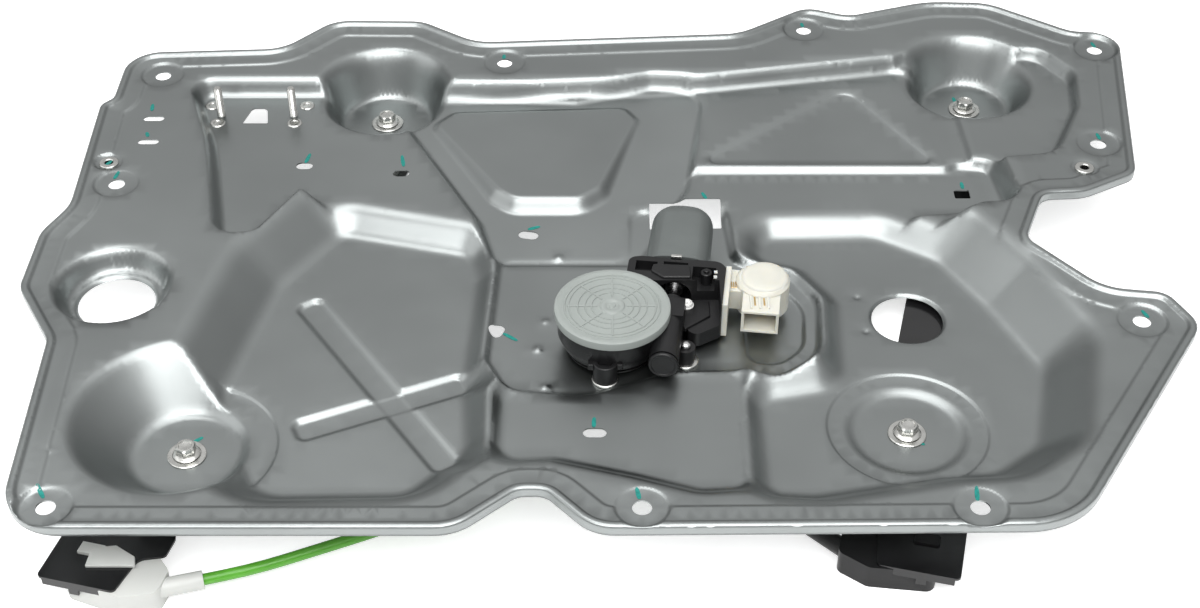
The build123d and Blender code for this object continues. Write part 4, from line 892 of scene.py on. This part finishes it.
def ridge(radius, rise):
    foot, top = RIDGE_HALF, RIDGE_HALF * 0.5
    return [
        (radius + foot, face_z), (radius + top, face_z + rise), (radius - top, face_z + rise),
        (radius - foot, face_z),
    ]


def at(x, y):
    return Matrix.Translation((x * MM, y * MM, 0.0))


cover_profile = [(34.2, 2.5), (37.2, 2.5), (37.2, 6.9), (36.9, 7.6), (36.2, 8.0), (33.0, 8.0), (32.2, face_z)]
for radius, rise in ((30.4, 0.6), (27.8, 0.6), (22.0, 0.65), (17.4, 0.65), (13.2, 0.6)):
    cover_profile += ridge(radius, rise)
cover_profile += [
    (8.2, face_z), (7.4, 8.5), (6.4, 8.7), (4.6, 8.6), (3.6, 7.9), (2.4, 7.9), (2.0, 8.5), (0.7, 8.6),
]
cover = build("cover_disc", turned(cover_profile, 112), cover_grey)
cover.data.transform(at(*wheel))
dress(cover, "gear_cover")


def bar_piece(name, start, end, width, low, high, material, draw=0.15):
    rings = []
    for z, inset in ((low, 0.0), (high - draw, 0.0), (high, draw)):
        half = width / 2 - inset
        corners = rectangle((start + inset, end - inset), (-half, half))
        rings.append(np.array([(*corner, z) for corner in corners]))
    return build(name, stack(rings), material)


RIB_COUNT = 8
cover_rib = bar_piece("rib_piece", 9.5, 28.8, 1.1, face_z - 0.4, face_z + 0.62, cover_grey)
place_copies("cover_ribs", cover_rib, [(*wheel, 0.0)] * RIB_COUNT, 2 * math.pi / RIB_COUNT)

# %% [markdown]
# The motor can is drawn from sheet, so its section is a flat oval and its far end is rounded more
# in plan than in height. It stands along the worm's axis, which leans a few degrees from the
# plate's upright direction. The can, the tab on it and the worm's end cap use that one frame.

# %% Draw the motor can
motor_turn = math.radians(-7.0)
WORM_DISTANCE = 36.0
worm_x = wheel[0] + WORM_DISTANCE * math.cos(motor_turn)
worm_y = wheel[1] + WORM_DISTANCE * math.sin(motor_turn)
motor_frame = Matrix.Translation(Vector((worm_x, worm_y, -8.0)) * MM) @ Matrix.Rotation(motor_turn, 4, "Z")


def oval(half_width, half_height, y, count=72):
    angles = np.linspace(0, 2 * math.pi, count, endpoint=False)
    c, s = np.cos(angles), np.sin(angles)
    bow = half_height * 0.96
    x = np.sign(c) * (half_width - bow) * np.minimum(1.0, np.abs(c) * 3.0) + bow * c
    return np.column_stack((x, np.full(count, y), half_height * np.sign(s) * np.abs(s) ** 0.8))


can_width, can_height, can_shoulder = 20.9, 14.4, 104.0
can_rings = [oval(21.0, 14.0, 56.0), oval(22.0, 15.0, 56.4), oval(22.0, 15.0, 58.2)]
can_rings += [oval(21.5, 14.6, 58.8), oval(21.4, 14.5, 70.0), oval(can_width, can_height, can_shoulder)]
for k in range(1, 8):
    bend = k / 7 * math.pi / 2
    draw = 1 - math.cos(bend)
    end_y = can_shoulder + 13.8 * math.sin(bend)
    can_rings.append(oval(can_width - 11.0 * draw, can_height - 5.0 * draw, end_y))
can = build("motor_can_shell", stack(can_rings), can_steel)
can.data.transform(motor_frame)
can.data.flip_normals()
dress(can, "motor_can")

# %% [markdown]
# Moulded and folded parts never have knife edges. Their solids are right in size, so each one is
# copied, its flat triangles are merged into whole faces, and every edge gets a small bevel that
# catches the light.

# %% Soften the moulded and folded parts
BEVEL_ANGLE, ROUND_ANGLE = 30.0, 50.0  # a piece with no bevel is round and needs the wider limit


def soft_edges(piece, width):
    bevel = piece.modifiers.new("soft edges", "BEVEL")
    bevel.width = width * MM
    bevel.segments = 2
    bevel.limit_method = "ANGLE"
    bevel.angle_limit = math.radians(BEVEL_ANGLE)
    bevel.harden_normals = True


def cut_box(piece, x, y, z):
    box = build("cutting_box", prism(rectangle(x, y), z), black)
    cut = piece.modifiers.new("cut", "BOOLEAN")
    cut.object = box
    cut.solver = "EXACT"
    make_plain(piece, cut)
    bpy.data.objects.remove(box)


def soften(node, width, material, slot, body="plate", opening=None):
    piece = add_object(node + "_soft", nodes[node].data.copy())
    piece.data.materials.clear()
    piece.data.materials.append(material)
    shape = bmesh.new()
    shape.from_mesh(piece.data)
    bmesh.ops.remove_doubles(shape, verts=shape.verts, dist=1e-5)
    bmesh.ops.dissolve_limit(shape, angle_limit=math.radians(0.6), verts=shape.verts, edges=shape.edges)
    shape.to_mesh(piece.data)
    shape.free()
    if opening:
        cut_box(piece, *opening)
    crease(piece, BEVEL_ANGLE if width else ROUND_ANGLE)
    if width:
        soft_edges(piece, width)
    dress(piece, node, body)


dark_parts, pale_parts = (black, "black_plastic"), (white_moulding, "guide_plastic")
for node, width, material, slot in (
    ("gear_housing", 0.6, *dark_parts), ("drum_case", 0.5, *dark_parts),
    ("motor_connector", 0.7, nylon, "nylon"), ("left_rail", 0.4, rail_black, "rail_steel"),
    ("right_rail", 0.4, rail_black, "rail_steel"), ("left_lower_guide", 1.0, *pale_parts),
    ("right_lower_guide", 1.0, *dark_parts), ("left_upper_guide", 0.8, *pale_parts),
    ("right_upper_guide", 0.8, *pale_parts), ("crossing_conduit", 0.0, green, "green_conduit"),
    ("upper_left_conduit", 0.0, dark_sleeve, "black_conduit"),
    ("lower_right_conduit", 0.0, dark_sleeve, "black_conduit"), ("conduit_clips", 0.3, *dark_parts),
):
    soften(node, width, material, slot)
screw_opening = ((8.0, 53.4), (158.0, 196.5), (-11.0, 8.0))
soften("brush_frame", 0.7, *dark_parts, opening=screw_opening)
for side in ("left", "right"):
    soften(side + "_slider", 0.5, white_moulding, "slider_plastic", side + "_carrier")
    soften(side + "_glass_bracket", 0.3, bracket_steel, "bracket_steel", side + "_carrier")

# %% [markdown]
# Bright metal shows at a few places on the motor: the screw beside the brush frame, a ball-headed
# rivet, and the spacer rings under the two free columns.

# %% Add the screw, the ball head and the spacer rings
def upright(name, place, profile, material, slot, count=40, node=None):
    piece = build(name, turned(profile, count), material)
    piece.data.transform(place)
    dress(piece, node)


column, ball_column = (-20.5, 134.5), (30.5, 152.0)
upright("housing_screw_head", at(32.5, 189.0), [
    (2.4, -15.5), (2.4, -9.5), (4.6, -9.5), (4.6, -8.7), (4.1, -8.5), (3.9, -7.2), (3.4, -6.6),
    (2.5, -6.5), (2.2, -7.4), (1.2, -7.5), (1.0, -6.9), (0.4, -6.9),
], screw_zinc, "zinc", node="housing_screw")
upright("ball_head", at(*ball_column), [
    (2.4, -12.6), (3.2, -12.2), (3.4, -11.2), (3.0, -10.1), (2.1, -9.4), (1.0, -9.1),
], shaft_steel, "shaft_steel", 28)
collar = build("collar_piece", turned([
    (6.3, -25.0), (6.8, -24.8), (6.8, -23.7), (6.5, -23.4), (6.2, -23.3),
], 40), zinc)
collar.data.transform(Matrix.Diagonal((1.25, 1.25, 1.0, 1.0)))
place_copies("spacer_rings", collar, [(*column, 0.0), (*ball_column, 0.0)])

# %% [markdown]
# The brush frame joins the can to the gear housing. Its face has a raised panel and a locating post,
# a lug for the screw hangs from its lower edge, and two brush contacts show at its side. The free
# column of the housing is a tube with two ears. These are short prisms with soft edges, and so is
# the white clip in the window of the left rail's foot.

# %% Add the small shapes of the motor, the housing and the foot
def slab(name, corners, levels, material, slot, edge=0.5, place=None):
    piece = build(name, prism(corners, levels), material)
    if place is not None:
        piece.data.transform(place)
    soft_edges(piece, edge)
    dress(piece)


slab("frame_panel", [(9.0, 205.5), (17.0, 198.0), (35.5, 198.0), (35.0, 211.0), (11.0, 212.5)], (3.0, 7.2),
     *dark_parts, 1.5)
slab("screw_lug", [(24.0, 176.0), (30.5, 166.0), (47.5, 179.0), (47.3, 193.5), (25.0, 196.0)], (-13.0, -9.4),
     *dark_parts, 0.9)
upright("frame_post", at(45.5, 205.5), [
    (3.8, -3.5), (3.8, 4.7), (3.3, 5.2), (2.1, 5.3), (1.9, 6.5), (1.5, 6.9), (0.5, 6.9),
], *dark_parts)
slab("can_tab", rectangle((-3.8, 3.4), (55.2, 57.6)), (14.2, 15.7), zinc, "zinc", 0.3, motor_frame)
upright("column_tube", at(*column), [
    (6.2, -23.2), (7.7, -23.2), (7.7, -10.2), (7.2, -9.7), (5.3, -9.7), (4.8, -10.2), (4.7, -11.6),
    (0.5, -11.8),
], *dark_parts)
for name, ear_x, web_x in (
    ("column_ear_left", (-31.5, -27.6), (-31.5, -27.6)), ("column_ear_right", (-13.4, -9.5), (-13.8, -12.4)),
):
    slab(name, rectangle(ear_x, (131.6, 137.6)), (-14.5, -9.9), *dark_parts, 0.7)
    slab(name + "_web", rectangle(web_x, (133.4, 135.8)), (-14.0, -10.8), *dark_parts, 0.3)
clip_corners = [(-318.7, -13.2), (-290.0, -13.2), (-291.4, -6.2), (-303.7, 2.5), (-317.8, 0.8)]
slab("guide_clip", clip_corners, (-36.1, -33.8), *pale_parts, 0.6)
worm_end = motor_frame @ Matrix.Rotation(math.radians(90.0), 4, "X")
upright("worm_end_cap", worm_end, [
    (7.0, 33.5), (9.5, 33.5), (9.5, 34.6), (9.0, 35.2), (7.8, 35.2), (7.2, 34.7), (0.5, 34.6),
], *dark_parts, 56)

# %% [markdown]
# The connector is translucent nylon with a round domed barrel. Two brass blades show through slots
# over its mouth, and a comb of four brass bars lies in a window of its neck.

# %% Add the dome, blades and comb of the connector
upright("connector_dome", at(83.4, 203.3), [
    (15.6, -3.0), (16.5, -3.0), (16.4, 0.6), (15.9, 2.2), (14.7, 3.4), (12.8, 4.2), (9.0, 4.6), (0.5, 4.7),
], nylon, "nylon", 72)
for name, blade_x in (("contact_blade_left", (75.2, 76.3)), ("contact_blade_right", (81.2, 82.3))):
    slab(name, rectangle(blade_x, (177.5, 186.2)), (-0.3, 0.3), brass, None, 0.1)
quarter_turn = Matrix.Rotation(math.pi / 2, 4, "Z")
mouth_rib = bar_piece("slot_rib_piece", -6.2, 6.2, 1.3, -0.3, 1.2, nylon)
mouth_rib.data.transform(quarter_turn)
place_copies("mouth_ribs", mouth_rib, [(x, 180.6, 0.0) for x in (73.2, 78.8, 84.4)])
comb_bar = bar_piece("comb_bar_piece", -3.0, 3.0, 0.7, -1.2, -0.5, brass)
comb_bar.data.transform(quarter_turn)
place_copies("contact_comb", comb_bar, [(61.9 + 1.35 * k, 199.5, 0.0) for k in range(4)])
brush_tab = bar_piece("brush_tab_piece", -1.1, 1.1, 2.6, 5.2, 6.1, nylon)
place_copies("brush_tabs", brush_tab, [(51.0, 199.6, 0.0), (51.6, 204.6, 0.0)], 0.12)

# %% [markdown]
# Someone has checked each fixing of this part and ticked it with a teal paint pen. A stroke is a
# thin strip that follows the sheet's own height, so it lies on the metal wherever it runs.

# %% Draw the paint pen ticks
strokes = [
    (-353.4, 403.4, 96, 9), (-350.4, 368.6, 110, 6), (-371.1, 334.3, 60, 7), (-362.7, 319.5, 80, 9),
    (-234.7, 358.2, 80, 12), (-165.9, 355.0, 100, 14), (-184.5, 431.0, 95, 4), (-69.8, 290.2, 20, 9),
    (-82.0, 175.5, -38, 12), (-27.5, 92.5, 88, 9), (-343.1, 12.0, 120, 11), (-271.5, 90.6, 40, 7),
    (-2.1, 11.0, 100, 9), (191.2, 10.8, 85, 11), (172.6, 88.4, -35, 8), (49.8, 319.9, 110, 8),
    (-97.4, 473.9, 90, 6), (135.0, 520.3, 95, 6), (357.6, 490.8, 100, 8), (335.5, 367.2, 95, 8),
    (316.3, 333.2, 30, 6), (234.1, 331.9, 90, 8), (250.9, 467.0, 95, 7), (323.6, 169.2, 110, 8),
]
stroke_form = [(-0.5, 0.5), (-0.4, 1.1), (-0.15, 1.4), (0.15, 1.3), (0.4, 1.0), (0.5, 0.4)]
PAINT_LIFT = 0.12
spots, faces = [], []
for x, y, turn, length in strokes:
    along = np.array((math.cos(math.radians(turn)), math.sin(math.radians(turn))))
    side = np.array((-along[1], along[0]))
    first = len(spots)
    for share, width in stroke_form:
        centre = np.array((x, y)) + along * share * length
        spots += [centre - side * width, centre + side * width]
    faces += [(k, k + 2, k + 3, k + 1) for k in range(first, len(spots) - 2, 2)]
spots = np.array(spots)
vertices = np.column_stack((spots, press_height(spots) + PAINT_LIFT))
dress(mesh_object("paint_ticks", vertices, faces, marker))

# %% [markdown]
# Every other solid keeps its shape and takes the finish of its material.

# %% Give the remaining nodes their finishes
for material, names in (
    (rail_black, "left_rail right_rail"), (pulley_grey, "left_pulley right_pulley"),
    (white_moulding, "left_lower_guide left_upper_guide right_upper_guide cable_drum"),
    (white_moulding, "left_slider right_slider"),
    (black, "right_lower_guide gear_housing drum_case brush_frame conduit_clips"),
    (cable_steel, "left_rail_cable right_rail_cable drum_cables cable_wraps"),
    (zinc, "left_nipples right_nipples left_glass_nuts right_glass_nuts pulley_pins rail_bolts rail_nuts"),
    (zinc, "rail_washers plate_studs stud_rivets insert_nuts motor_screws housing_screw"),
    (bracket_steel, "left_glass_bracket right_glass_bracket stud_plates wheel_driver"),
    (shaft_steel, "output_shaft armature worm"), (cover_grey, "gear_cover"), (gear_white, "worm_wheel"),
    (rubber, "rubber_damper"), (can_steel, "motor_can"), (magnet_black, "motor_magnets"),
    (nylon, "motor_connector"), (brass, "connector_terminals"), (green, "crossing_conduit"),
    (dark_sleeve, "upper_left_conduit lower_right_conduit"), (steel, "carrier_plate"),
):
    for name in names.split():
        nodes[name].data.materials.clear()
        nodes[name].data.materials.append(material)
print("finished nodes", len(nodes))
